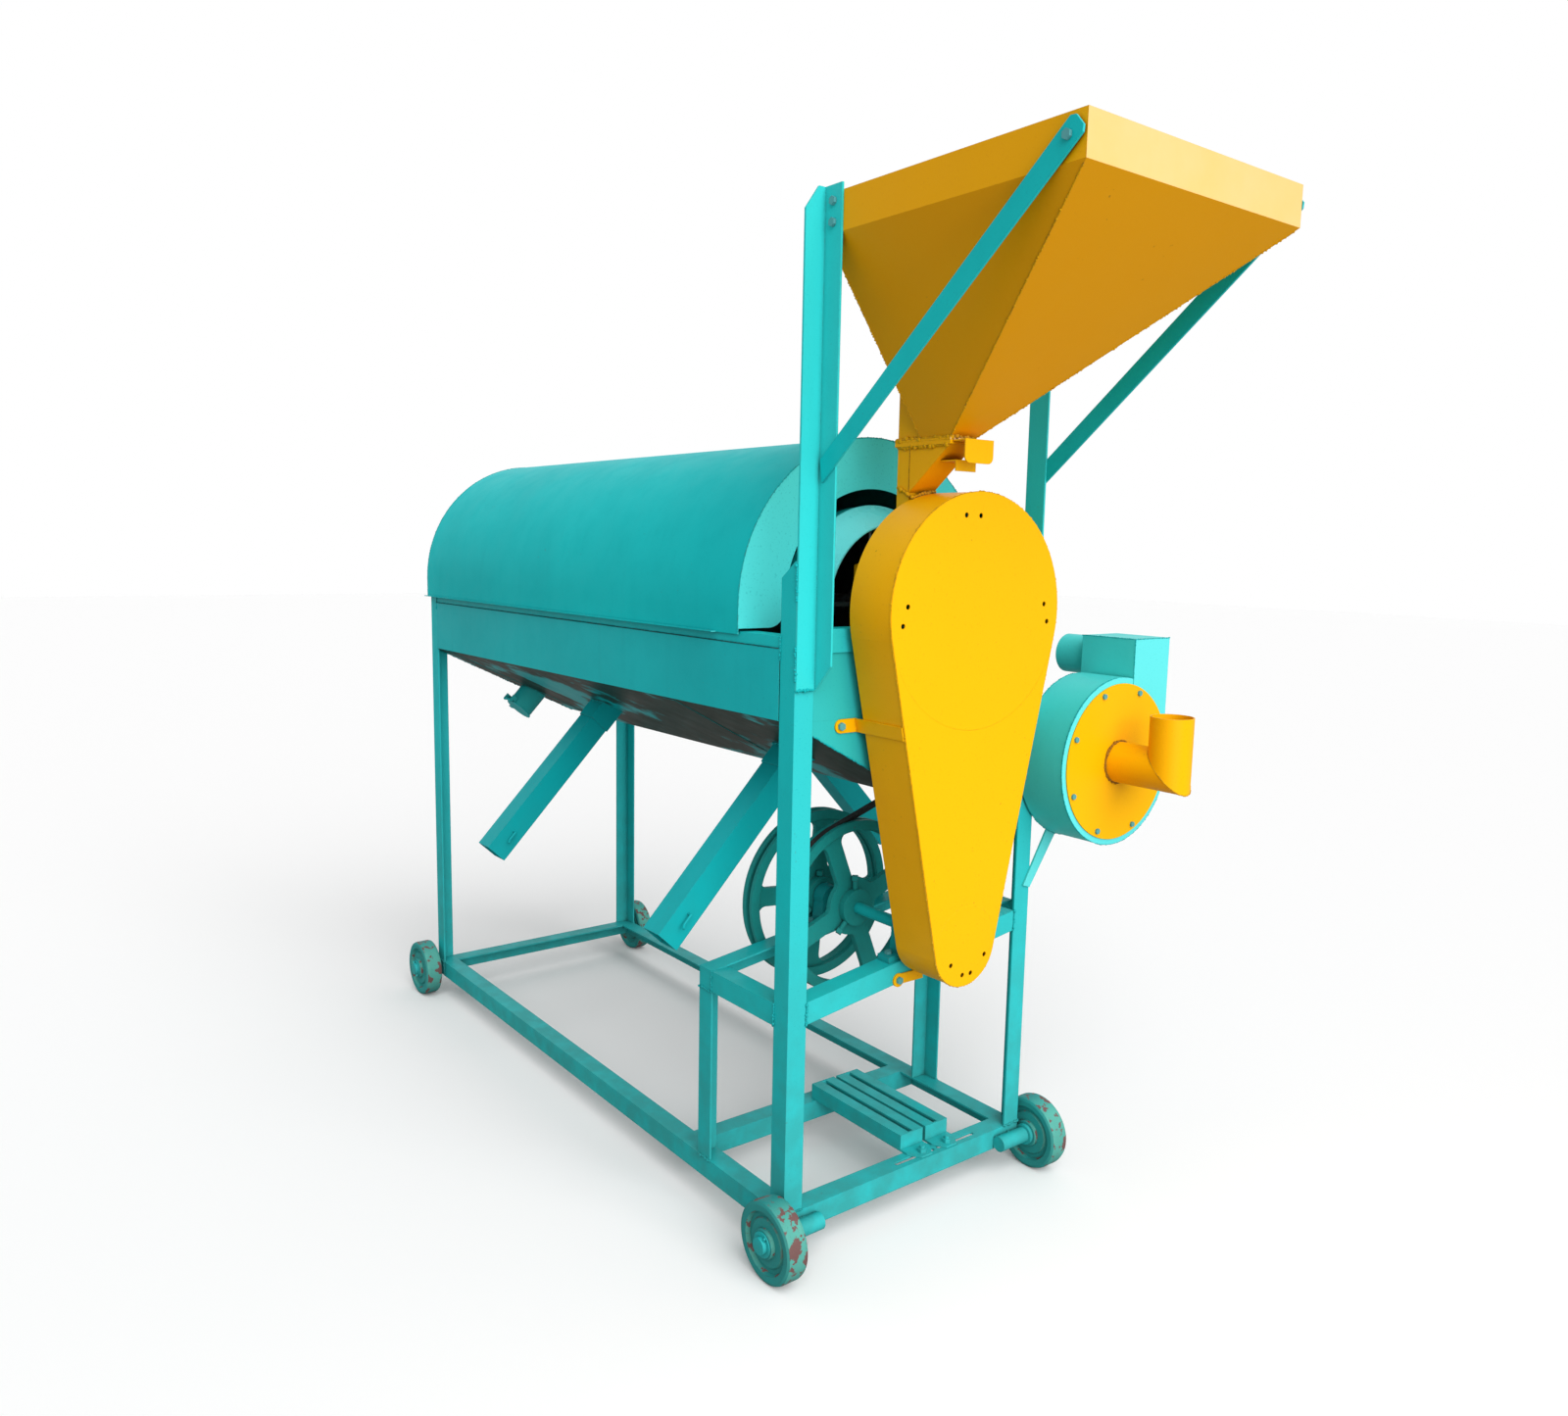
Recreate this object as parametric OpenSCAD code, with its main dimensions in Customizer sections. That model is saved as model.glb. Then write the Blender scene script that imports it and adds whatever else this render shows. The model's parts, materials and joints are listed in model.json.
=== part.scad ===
// Seed cleaner grader: a rotary drum under a half-round hood, on a wheeled frame of angle iron.
// +X is the feed end, -Y the side with two chutes, +Z up. Sizes are in millimetres.
// The machine is laid out from the plan centre of its four legs at floor level, then moved so
// that the origin lies under the middle of its bounding box.

/* [Frame] */
// Length over the legs
frame_l = 1980; // [1800:10:2200]
// Width over the legs
frame_w = 754; // [740:2:780]
// Flange width of the angle iron
angle_a = 50; // [46:1:54]
// Thickness of the angle iron
angle_t = 5; // [4:0.5:6]
// Height of the base rails' upper faces
base_h = 120; // [116:1:124]
// Height of the long top rails
side_top = 1384; // [1374:1:1390]
// Height of the cross top rails that carry the drum
end_top = 1400; // [1396:1:1412]
// Height of the front legs' stubs
stub_top = 1540; // [1500:5:1560]
// Distance from the front face to the back of the inner posts
post_back = 340; // [330:2:350]
// Distance from the front face to the base cross rail
cross_back = 384; // [370:2:400]
// Height of the drive frame at the near side
sub_near = 589; // [580:1:600]
// Height of the drive frame at the far side
sub_far = 693; // [685:1:700]

/* [Hopper] */
// Length of the hopper's rim along X
rim_l = 632; // [560:4:700]
// Distance from the middle to the rim's near face
rim_near = 324; // [318:1:326]
// Distance from the middle to the rim's far face
rim_far = 300; // [290:1:320]
// Height of the rim's lower edge
rim_low = 2177; // [2100:5:2200]
// Depth of the rim
rim_deep = 77; // [60:1:100]
// Sheet of the hopper and the guard
sheet = 2.5; // [2:0.5:3]
// Length of the neck along X
neck_l = 85; // [75:1:95]
// Width of the neck along Y
neck_w = 70; // [60:1:80]
// Near face of the neck
neck_near = 92; // [88:1:96]
// Height of the neck's flange
neck_z = 1797; // [1780:1:1810]
// Thickness of the slide gate
gate_t = 3; // [2:0.5:4]
// Width of the flat braces
brace_w = 40; // [30:1:45]

/* [Drum] */
// Height of the drum's axis
drum_z = 1437.5; // [1435:0.5:1440]
// Outer radius of the drum's rings
drum_r = 225; // [215:1:230]
// Radius of the drum's shaft
drum_shaft_r = 20; // [16:1:22]
// Radius of the mouth in the drum's cone
mouth_r = 183; // [170:1:190]
// Number of arms on a spider
arms = 4; // [3:1:6]

/* [Drive] */
// Radius of the large V-pulleys
big_r = 215; // [205:1:218]
// Radius of the small V-pulleys
small_r = 45; // [42:1:50]
// Spokes of a large pulley
spokes = 4; // [4:1:6]
// Y of the lay shaft
lay_y = -12; // [-20:1:0]
// Height of the lay shaft
lay_z = 701; // [698:1:708]
// Radius of the lay shaft
lay_r = 14; // [12:0.5:16]
// Width over the top of a V-belt
belt_w = 17; // [15:0.5:18]
// Depth of a V-belt
belt_h = 11; // [9:0.5:12]

/* [Guard] */
// Depth of the guard
guard_deep = 127; // [120:1:135]
// Radius of the guard's round top
guard_top_r = 252.5; // [248:0.5:260]
// Radius of the guard's round foot
guard_low_r = 91; // [85:1:95]

/* [Trough] */
// Height where the trough's sides fold inwards
knee_z = 1207; // [1195:1:1212]
// Height of the trough's keel
keel_z = 1003; // [990:1:1010]
// Height of the trough's upper edge
trough_top = 1358; // [1350:1:1362]
// Sheet of the trough and the hood
skin = 2; // [1.5:0.5:2]

/* [Chutes] */
// Side of a chute's square tube
chute_s = 65; // [60:1:70]
// Wall of a chute
chute_t = 2.5; // [2:0.5:3]
// Slope of the chutes
chute_slope = 46.7; // [44:0.1:50]
// Length of a chute below its sleeve
chute_l = 471; // [400:5:520]
// X of the near rear chute
chute_rear_x = -182; // [-240:2:-120]
// X of the far chute
chute_far_x = 270; // [200:2:300]
// X of the near front chute
chute_front_x = 718; // [700:2:740]

/* [Hood] */
// Room between the top rails and the hood's side sheets
hood_room = 4; // [2:1:7]
// Distance from the legs' front to the hood
hood_front = 196; // [190:2:220]
// Lower edge of the hood
skirt_z = 1378; // [1376:1:1380]
// Radius of the arch in the hood's front plate
arch_r = 254; // [250:1:270]

/* [Blower] */
// Distance of the blower's axis beyond the far legs
fan_out = 145; // [138:1:163]
// Height of the blower's axis
fan_z = 1063; // [1050:1:1075]
// Radius of the blower's housing
fan_r = 206; // [200:1:215]
// Width of the blower's housing
fan_w = 130; // [120:1:140]
// Radius of the cover disc
disc_r = 192; // [188:1:198]
// Radius of the inlet and outlet pipes
pipe_r = 50; // [45:1:52]
// Blades of the impeller
blades = 6; // [5:1:8]

/* [Wheels] */
// Radius of the wheels
wheel_r = 90; // [80:1:100]
// Width of the wheels
wheel_w = 54; // [48:1:60]
// Radius of the stub axles
axle_r = 19; // [16:0.5:20]

/* [Motor rails] */
// Length of the slotted motor rails
slide_l = 343; // [336:1:350]
// Width of a motor rail
slide_w = 74; // [68:1:76]
// Height of a motor rail
slide_h = 40; // [34:1:46]

/* [Hidden] */
$fn = 64;
teal = "#2cb8ba";
dark_teal = "#1f9092";
yellow = "#fdc918";
steel = "#8a9296";
black = "#25282a";
rust = "#8a5a5c";
seat = 0.3;
run = 0.05;
hx = frame_l / 2;
hy = frame_w / 2;
hood_r = hy + hood_room + skin;
fan_y = hy + fan_out;
leg_y = hy - angle_a;
leg_x = hx - angle_a;
end_x = hx - angle_t;
side_y = hy - angle_t;
base_low = base_h - angle_a;
post_x = hx - post_back;
rise = (sub_far - sub_near) / frame_w;
tilt = atan(rise);
stub_cut = 36;
bolt_r = 5;
bolt_hole_r = bolt_r + seat;

// Hopper and feed, along X from the legs' front face
rim_x0 = hx + angle_t + 1;
rim_x1 = rim_x0 + rim_l;
rim_top = rim_low + rim_deep;
neck_x0 = hx + 50;
neck_x1 = neck_x0 + neck_l;
neck_y0 = -neck_near;
neck_y1 = neck_y0 + neck_w;
duct_x0 = hx - 20;
duct_x1 = hx + 17;
flange_t = 5;
flange_out = 5;
gate_z = neck_z - flange_t - seat - gate_t;
lower_z = gate_z - seat;
mast_top = rim_top + 13;
mast_low = side_top - 108;
mast_out = 55;
mast_face = 48;
mast_bolt_x = hx + 31;
mast_bolts_z = [rim_top - 18, rim_top - 58];
brace_x0 = hx + 14;
brace_x1 = rim_x1 - 30;
brace_z1 = rim_top - 38;
brace_z0 = brace_z1 - 497;
feed_knee = drum_z + guard_top_r - 3;
feed_low = 1560;
rim_rect = [rim_x0, rim_x1, -rim_near, rim_far];
neck_rect = [neck_x0, neck_x1, neck_y0, neck_y1];
flange_rect = [duct_x0 - flange_out, neck_x1 + flange_out, neck_y0 - flange_out, neck_y1 + flange_out];

// Drive
guard_x0 = hx + 22;
guard_x1 = guard_x0 + guard_deep;
guard_span = drum_z - lay_z;
guard_lean = asin((guard_top_r - guard_low_r) / guard_span);
guard_hole_r = 5.5;
guard_holes = [[-49, drum_z + 203], [-6, drum_z + 203], [-207, drum_z + 15], [-219, drum_z - 24],
    [207, drum_z + 15], [219, drum_z - 24], [-43, lay_z - 36], [-6, lay_z - 65], [20, lay_z - 65],
    [62, lay_z - 30]];
strap_z = 1192;
strap_w = 30;
strap_t = 4;
strap_bolt_y = -249;
ear_bolt_y = -60;
ear_bolt_z = sub_near + (ear_bolt_y + hy) * rise - 42;
belt_x = hx + 92;
lay_pulley_x = hx - 225;
idle_pulley_x = hx - 361;
groove_half = 17;
groove_gap = 0.3;
belt_split = 0.1;
weld_gap = 0.1;
drain_strip = 60;
hose_seat = 60;
stop_t = 3;
stop_w = 4;
rim_w = 38;
hub_r = 45;
spoke_w = 46;
lay_x0 = hx - 390;
lay_x1 = belt_x + 26;
drum_x0 = -hx + 80;
drum_x1 = hx - 201;
cone_x1 = drum_x1 + 75;
cone_r = drum_r + 4;
cone_t = 3;
ring_w = 40;
ring_t = 8;
screen_t = 1.5;
spider_hub_r = 42;
drum_foot_l = 80;
lay_foot_l = 78;
foot_hole = 17;
foot_t = 15;
block_w = 38;
lay_seat_h = (lay_z - sub_near - (lay_y + hy) * rise) * cos(tilt);
lay_blocks_x = [end_x - angle_a / 2 + 3, post_x + angle_a / 2 + 2];
rings_x = [for (i = [0 : 3]) drum_x0 + i * (drum_x1 - ring_w - drum_x0) / 3];

// Trough
trough_y = hy + skin;
fall = (knee_z - keel_z) / trough_y;
fall_angle = atan(fall);
hip_run = 270;
hip = (knee_z - keel_z) / hip_run;
sleeve_l = 64;
sleeve_wall = 3;
outlet_y = 162;
outlet_z = keel_z + fall * outlet_y;
drain_x = -hx + 255;
drain_y = 130;
drain_r = 42;
drain_l = 78;
flap_z = drain_l + seat;
flap_t = 3;
hinge_y = drain_r + 9;
hinge_z = flap_z + flap_t / 2;
pin_r = 2;
barrel_r = 4;
barrel_l = 40;
hood_z = drum_z - 1;
hood_x0 = -hx - 14;
hood_x1 = hx - hood_front;
arch_z = hood_z + 13;

// Blower
fan_x0 = hx + angle_t;
fan_x1 = fan_x0 + fan_w;
box_y0 = fan_y + 46;
box_y1 = fan_y + 184;
box_x0 = hx - 25;
box_top = fan_z + 297;
outlet_x = box_x0 - 100;
outlet_y_axis = (box_y0 + box_y1) / 2;
outlet_z_axis = box_top - pipe_r - 6;
disc_t = 3;
elbow_x = fan_x1 + 147;
elbow_top = fan_z + 129;
fan_shaft_r = 12.5;
bearing_x0 = hx - 158;
bearing_r = 34;
cover_pcr = disc_r - 14;
cover_bolt_r = 4;

// Running gear
axle_x = hx + axle_r;
wheel_gap = 14;
wheel_y = hy + wheel_gap + wheel_w / 2;
axle_in = 88;
hub_proud = 3;
washer_t = 3;
hub_out = wheel_y + wheel_w / 2 + hub_proud + seat;
hub_in = wheel_y - wheel_w / 2 - hub_proud - seat;
pin_y = hub_out + washer_t + 3;

// Motor rails
slide_x1 = hx - 59;
slide_x0 = slide_x1 - slide_l;
slide_a_y = 61;
slide_b_y = 144;
stud_r = 6;
stud_x = hx - 22;
slots_y = [[slide_a_y - 83, slide_a_y + 33], [slide_b_y - 28, slide_b_y + 86]];

// Bounding box and the shift to its middle
box_x_min = -axle_x - wheel_r;
box_x_max = rim_x1;
chute_end = sleeve_l + chute_l;
box_y_min = -(outlet_y + chute_end * cos(chute_slope) + chute_s / 2 * sin(chute_slope));
box_y_max = fan_y + fan_r;
mid_x = (box_x_min + box_x_max) / 2;
mid_y = (box_y_min + box_y_max) / 2;

// Placing

module placed() {
    translate([-mid_x, -mid_y, 0]) children();
}

// Turns a shape drawn in Y and Z so that its height runs along X.
module along_x() {
    rotate([90, 0, 90]) children();
}

// Turns a shape drawn in X and Z into a plate from y0 to y1.
module plate_y(y0, y1) {
    translate([0, y1, 0]) rotate([90, 0, 0]) linear_extrude(y1 - y0) children();
}

// A child on both long sides; the near one is the mirror image.
module both_sides() {
    children();
    mirror([0, 1, 0]) children();
}

module rod_x(x0, x1, y, z, r) {
    translate([x0, y, z]) rotate([0, 90, 0]) cylinder(h = x1 - x0, r = r);
}

module rod_y(x, y0, y1, z, r) {
    translate([x, y1, z]) rotate([90, 0, 0]) cylinder(h = y1 - y0, r = r);
}

module block(x0, x1, y0, y1, z0, z1) {
    translate([x0, y0, z0]) cube([x1 - x0, y1 - y0, z1 - z0]);
}

// r holds the bounds of a rectangle: x low, x high, y low, y high.
module slab(r, z0, z1) {
    block(r[0], r[1], r[2], r[3], z0, z1);
}

function inset(r, m) = [r[0] + m, r[1] - m, r[2] + m, r[3] - m];

// Angle iron

// The heel is at the origin and the flanges point along sx and sy.
module angle_section(sx, sy) {
    polygon([[0, 0], [sx * angle_a, 0], [sx * angle_a, sy * angle_t], [sx * angle_t, sy * angle_t],
        [sx * angle_t, sy * angle_a], [0, sy * angle_a]]);
}

module post(x, y, z0, z1, sx, sy) {
    translate([x, y, z0]) linear_extrude(z1 - z0) angle_section(sx, sy);
}

// A rail along X whose heel is its outer top edge; sy points inwards.
module rail_x(x0, x1, y, z, sy) {
    translate([x0, y, z]) along_x() linear_extrude(x1 - x0) angle_section(sy, -1);
}

// A rail along Y whose heel is its outer top edge; sx points inwards.
module rail_y(x, y0, y1, z, sx) {
    translate([x, y0, z]) rotate([90, 0, 180]) linear_extrude(y1 - y0) angle_section(-sx, -1);
}

module leg(sx, sy, top) {
    post(sx * hx, sy * hy, base_h, top, -sx, -sy);
}

// A front leg, whose side flange is cut at a slant above the top rail.
module front_leg(sy) {
    y = sy * (hy - angle_t / 2);
    difference() {
        leg(1, sy, stub_top);
        plate_y(y - angle_t / 2 - 1, y + angle_t / 2 + 1)
            polygon([[leg_x - 1, stub_top - stub_cut], [end_x, stub_top], [end_x, stub_top + 1],
                [leg_x - 1, stub_top + 1]]);
    }
}

module base_side(sy) {
    rail_x(-leg_x, leg_x, sy * hy, base_h, -sy);
    for (sx = [-1, 1])
        translate([sx * (leg_x + end_x) / 2, sy * (hy + side_y) / 2, (base_low + base_h - angle_t) / 2])
            cube([end_x - leg_x, angle_t, angle_a - angle_t], center = true);
}

// The slots let the motor rails move along Y.
module base_front() {
    slot_r = stud_r + seat;
    difference() {
        rail_y(hx, -hy, hy, base_h, -1);
        for (s = slots_y) {
            block(stud_x - slot_r, stud_x + slot_r, s[0], s[1], base_h - angle_t - 1, base_h + 1);
            for (y = s)
                translate([stud_x, y, base_h - angle_t - 1]) cylinder(h = angle_t + 2, r = slot_r);
        }
    }
}

module base_cross() {
    x = hx - cross_back;
    rail_y(x, -leg_y, leg_y, base_h, -1);
    for (sy = [-1, 1])
        translate([x - angle_t / 2, sy * (leg_y + side_y) / 2, (base_low + base_h - angle_t) / 2])
            cube([angle_t, side_y - leg_y, angle_a - angle_t], center = true);
}

// Height of the drive frame's sloped upper face at a given Y
function sub_z(y) = sub_near + (y + hy) * rise;

// All that lies above the drive frame's slope, lowered by a depth square to it.
module above_slope(x0, x1, depth) {
    translate([x0, -hy, sub_near]) rotate([tilt, 0, 0]) translate([0, -50, -depth])
        cube([x1 - x0, frame_w + 100, 200]);
}

// Its end flange meets the sloped rail and its side flange the level one.
module inner_post(sy) {
    drop = angle_a / cos(tilt);
    translate([post_x, 0, 0]) along_x() linear_extrude(angle_t)
        polygon([[sy * hy, base_h], [sy * leg_y, base_h], [sy * leg_y, sub_z(sy * leg_y) - drop],
            [sy * hy, sub_z(sy * hy) - drop]]);
    block(post_x + angle_t, post_x + angle_a, min(sy * hy, sy * side_y), max(sy * hy, sy * side_y),
        base_h, sub_z(sy * hy) - angle_a);
}

module sub_side(sy) {
    z = sub_z(sy * hy);
    rail_x(post_x + angle_a, leg_x, sy * hy, z, -sy);
    difference() {
        translate([post_x + angle_t, sy > 0 ? side_y : -hy, z - angle_a])
            cube([angle_a - angle_t, angle_t, angle_a]);
        above_slope(post_x, post_x + angle_a + 1, angle_t);
    }
}

// A rail across the drive frame, on the slope from the near to the far side.
module sloped_rail(x, sx, y_end) {
    intersection() {
        translate([0, -hy, sub_near]) rotate([tilt, 0, 0]) rail_y(x, -30, frame_w + 40, 0, sx);
        block(x - angle_a - 1, x + angle_a + 1, -y_end, y_end, sub_near - 100, sub_far + 50);
    }
}

module sub_front() {
    slot_r = 6;
    slot_x = lay_blocks_x[0] - 4;
    difference() {
        sloped_rail(hx, -1, leg_y);
        pillow_bolt_holes(lay_blocks_x[0]);
        rod_x(end_x - 1, hx + 1, ear_bolt_y, ear_bolt_z, bolt_hole_r);
        for (y = [lay_y + lay_foot_l + 22, lay_y + lay_foot_l + 74])
            translate([slot_x, y, sub_z(y) - 20]) cylinder(h = 40, r = slot_r);
        block(slot_x - slot_r, slot_x + slot_r, lay_y + lay_foot_l + 22, lay_y + lay_foot_l + 74,
            sub_z(lay_y) - 10, sub_far);
    }
}

module sub_rear() {
    difference() {
        sloped_rail(post_x, 1, hy);
        pillow_bolt_holes(lay_blocks_x[1]);
    }
}

module top_side(sy) {
    rail_x(-leg_x, leg_x, sy * hy, side_top, -sy);
    for (sx = [-1, 1])
        translate([sx * (leg_x + end_x) / 2, sy * (leg_y + side_y) / 2, side_top - angle_t / 2])
            cube([end_x - leg_x, side_y - leg_y, angle_t], center = true);
}

module top_cross(sx) {
    difference() {
        rail_y(sx * hx, -leg_y, leg_y, end_top, -sx);
        for (y = [foot_hole - drum_foot_l, drum_foot_l - foot_hole])
            translate([sx * (leg_x + angle_a / 2), y, end_top - angle_t - 1])
                cylinder(h = angle_t + 2, r = bolt_hole_r);
    }
}

// Mast

// An upright welded to a front leg; its outer flange carries the hopper.
module upright(y, sy) {
    out_x = hx + mast_out;
    difference() {
        translate([hx, y, mast_low]) linear_extrude(mast_top - mast_low)
            polygon([[0, 0], [0, sy * (mast_face + angle_t)], [angle_t, sy * (mast_face + angle_t)],
                [angle_t, sy * angle_t], [mast_out, sy * angle_t], [mast_out, 0]]);
        plate_y(y - 10, y + 10)
            polygon([[hx + angle_t, mast_low - 1], [out_x + 1, mast_low - 1], [out_x + 1, mast_low + 53]]);
        translate([hx - 1, y, mast_top]) along_x() linear_extrude(angle_t + 2)
            polygon([[sy * 20, 1], [sy * 60, 1], [sy * 60, -56]]);
        for (z = mast_bolts_z)
            rod_y(mast_bolt_x, y - 10, y + 10, z, bolt_hole_r);
    }
}

// A flat bar from the upright's flange up to the hopper's rim, on the hopper's face at y.
module flat_brace(y, sy) {
    slope = atan2(brace_z1 - brace_z0, brace_x1 - brace_x0);
    reach = norm([brace_x1 - brace_x0, brace_z1 - brace_z0]);
    half = brace_w / 2;
    tip = 20;
    corner = 8;
    bar_y = y + sy * 1.5 * angle_t;
    difference() {
        union() {
            translate([brace_x0, 0, brace_z0]) rotate([0, -slope, 0])
                plate_y(bar_y - angle_t / 2, bar_y + angle_t / 2)
                    polygon([[-10, -half], [reach + tip, -half], [reach + tip + corner, corner - half],
                        [reach + tip + corner, half - corner], [reach + tip, half], [14, half]]);
            rod_y(brace_x1, min(y, bar_y), max(y, bar_y), brace_z1, 13);
        }
        rod_y(brace_x1, y - 20, y + 20, brace_z1, bolt_hole_r);
    }
}

module hopper_braces() {
    flat_brace(-rim_near, -1);
    flat_brace(rim_far, 1);
}

// Hopper and feed

// The hopper's outline seen along Y, drawn in by a margin
module hopper_xz(m, top) {
    far = rim_near + rim_far;
    plate_y(-far, far) polygon([[neck_x0 + m, neck_z], [neck_x1 - m, neck_z], [rim_x1 - m, rim_low],
        [rim_x1 - m, top], [rim_x0 + m, top], [rim_x0 + m, rim_low]]);
}

// The hopper's outline seen along X, drawn in by a margin
module hopper_yz(m, top) {
    along_x() linear_extrude(2 * rim_x1)
        polygon([[neck_y0 + m, neck_z], [neck_y1 - m, neck_z], [rim_far - m, rim_low], [rim_far - m, top],
            [m - rim_near, top], [m - rim_near, rim_low]]);
}

// The four walls, each cut from its own sheet
module hopper_walls() {
    difference() {
        intersection() {
            hopper_xz(0, rim_top);
            hopper_yz(0, rim_top);
        }
        hopper_xz(sheet, rim_top + 1);
    }
    difference() {
        intersection() {
            hopper_xz(sheet + weld_gap, rim_top);
            hopper_yz(0, rim_top);
        }
        hopper_yz(sheet, rim_top + 1);
    }
}

// X of the pyramid's rear face at a given height
function rear_x(z) = rim_x0 + (neck_x0 - rim_x0) * (rim_low - z) / (rim_low - neck_z);

module hopper() {
    gusset = neck_z + 99;
    difference() {
        union() {
            hopper_walls();
            plate_y(neck_y0, neck_y1)
                polygon([[duct_x0, neck_z], [neck_x0 + 1, neck_z], [rear_x(gusset + 9) + 1, gusset + 9],
                    [duct_x0, gusset]]);
        }
        slab(flange_rect, neck_z - 1, neck_z + weld_gap);
        for (y = [-rim_near, rim_far]) {
            rod_y(brace_x1, y - 8, y + 8, brace_z1, bolt_hole_r);
            for (z = mast_bolts_z)
                rod_y(mast_bolt_x, y - 8, y + 8, z, bolt_hole_r);
        }
    }
    difference() {
        slab(flange_rect, neck_z - flange_t, neck_z);
        slab(inset(neck_rect, sheet), neck_z - flange_t - 1, neck_z + 1);
    }
}

// The lower flange, with strips at three sides that the gate slides between.
module gate_frame() {
    strip = flange_out + sheet;
    top = neck_z - flange_t;
    difference() {
        slab(flange_rect, lower_z - flange_t, top);
        block(neck_x0 - 8, flange_rect[1] + 1, flange_rect[2] + strip, flange_rect[3] - strip,
            lower_z, top + 1);
        slab(inset(neck_rect, sheet), lower_z - flange_t - 1, lower_z + 1);
    }
}

// A plate with a bent pull tab, whose lower corners are round.
module slide_gate() {
    play = 0.4;
    tab_x = flange_rect[1] + 42;
    tab_deep = 45;
    tab_r = 14;
    y0 = neck_y0 - 6;
    y1 = neck_y1 + 6;
    low = gate_z - tab_deep;
    block(neck_x0 - 7, tab_x, neck_y0 + sheet + play, neck_y1 - sheet - play, gate_z, gate_z + gate_t);
    block(tab_x - 12, tab_x + gate_t, y0, y1, gate_z, gate_z + gate_t);
    block(tab_x, tab_x + gate_t, y0, y1, low + tab_r, gate_z + gate_t);
    block(tab_x, tab_x + gate_t, y0 + tab_r, y1 - tab_r, low, gate_z);
    for (y = [y0 + tab_r, y1 - tab_r])
        rod_x(tab_x, tab_x + gate_t, y, low + tab_r, tab_r);
}

// The duct drawn in by a margin: it falls behind the guard and turns into the drum's mouth.
module feed_profile(m) {
    top = lower_z - flange_t;
    out_x = cone_x1 - 28;
    open = m > 0 ? 1 : 0;
    polygon([[duct_x0 + m, top + open], [neck_x1 - 1.6 * m, top + open], [duct_x1 - m, feed_knee + m / 2],
        [duct_x1 - m, feed_low - 34 + m], [out_x - open, feed_low - 96 + m],
        [out_x - open, feed_low - 30 - m], [duct_x0 + m, feed_low - m]]);
}

module feed_chute() {
    tab_x = neck_x1 + 8;
    tab_z = lower_z - flange_t - 34;
    tab_w = 58;
    wall_x = duct_x1 + 78;
    difference() {
        plate_y(neck_y0, neck_y1) feed_profile(0);
        plate_y(neck_y0 + sheet, neck_y1 - sheet) feed_profile(sheet);
    }
    block(wall_x, tab_x, neck_y1 - tab_w, neck_y1, tab_z, tab_z + gate_t);
    block(tab_x - gate_t, tab_x, neck_y1 - tab_w, neck_y1, tab_z - 20, tab_z + gate_t);
}

// Guard

// Outline of the guard drawn in by a margin: two arcs joined by their tangents
module guard_outline(m) {
    top = guard_top_r - m;
    low = guard_low_r - m;
    side = [cos(guard_lean), -sin(guard_lean)];
    translate([0, drum_z]) circle(r = top, $fn = 96);
    translate([0, lay_z]) circle(r = low, $fn = 96);
    polygon([[top * side[0], drum_z + top * side[1]], [low * side[0], lay_z + low * side[1]],
        [-low * side[0], lay_z + low * side[1]], [-top * side[0], drum_z + top * side[1]]]);
}

module guard_band() {
    translate([guard_x0, 0, 0]) along_x() linear_extrude(guard_deep - sheet) difference() {
        guard_outline(0);
        guard_outline(sheet);
    }
}

module guard_plate() {
    difference() {
        translate([guard_x1 - sheet, 0, 0]) along_x() linear_extrude(sheet) guard_outline(0);
        for (p = guard_holes)
            rod_x(guard_x1 - sheet - 1, guard_x1 + 1, p[0], p[1], guard_hole_r);
    }
}

// Half width of the guard at a given height
function guard_half(z) = (guard_top_r + (z - drum_z) * sin(guard_lean)) / cos(guard_lean);

// A strap from the trough's end panel to the guard's side
module side_strap() {
    half = guard_half(strap_z);
    difference() {
        union() {
            block(end_x, end_x + strap_t, strap_bolt_y, -half - 2, strap_z - strap_w / 2,
                strap_z + strap_w / 2);
            rod_x(end_x, end_x + strap_t, strap_bolt_y, strap_z, strap_w / 2);
            translate([end_x, -half, strap_z]) rotate([guard_lean, 0, 0])
                translate([0, -strap_t, -strap_w / 2])
                    cube([guard_x1 - strap_t - end_x, strap_t, strap_w]);
        }
        rod_x(end_x - 1, end_x + strap_t + 1, strap_bolt_y, strap_z, bolt_hole_r);
    }
}

// An ear from the drive frame's front rail to the guard's foot
module ear() {
    low = lay_z - guard_low_r;
    half = 16;
    difference() {
        union() {
            rod_x(hx, hx + strap_t, ear_bolt_y, ear_bolt_z, half);
            block(hx, hx + strap_t, ear_bolt_y, half, ear_bolt_z - 10, ear_bolt_z + 14);
            block(hx, hx + strap_t, -half, half, ear_bolt_z - 10, low);
            block(hx, guard_x0 + 46, -half, half, low - strap_t, low);
        }
        rod_x(hx - 1, hx + strap_t + 1, ear_bolt_y, ear_bolt_z, bolt_hole_r);
    }
}

module guard_straps() {
    side_strap();
    ear();
}

// Drum

// Fine cuts along the drum that part a ring or a screen into six arcs
module radial_cuts(turn) {
    for (i = [0 : 5])
        translate([-hx, 0, drum_z]) rotate([turn + i * 60, 0, 0])
            translate([0, -weld_gap / 2, drum_r - 20]) cube([frame_l, weld_gap, 30]);
}

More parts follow.
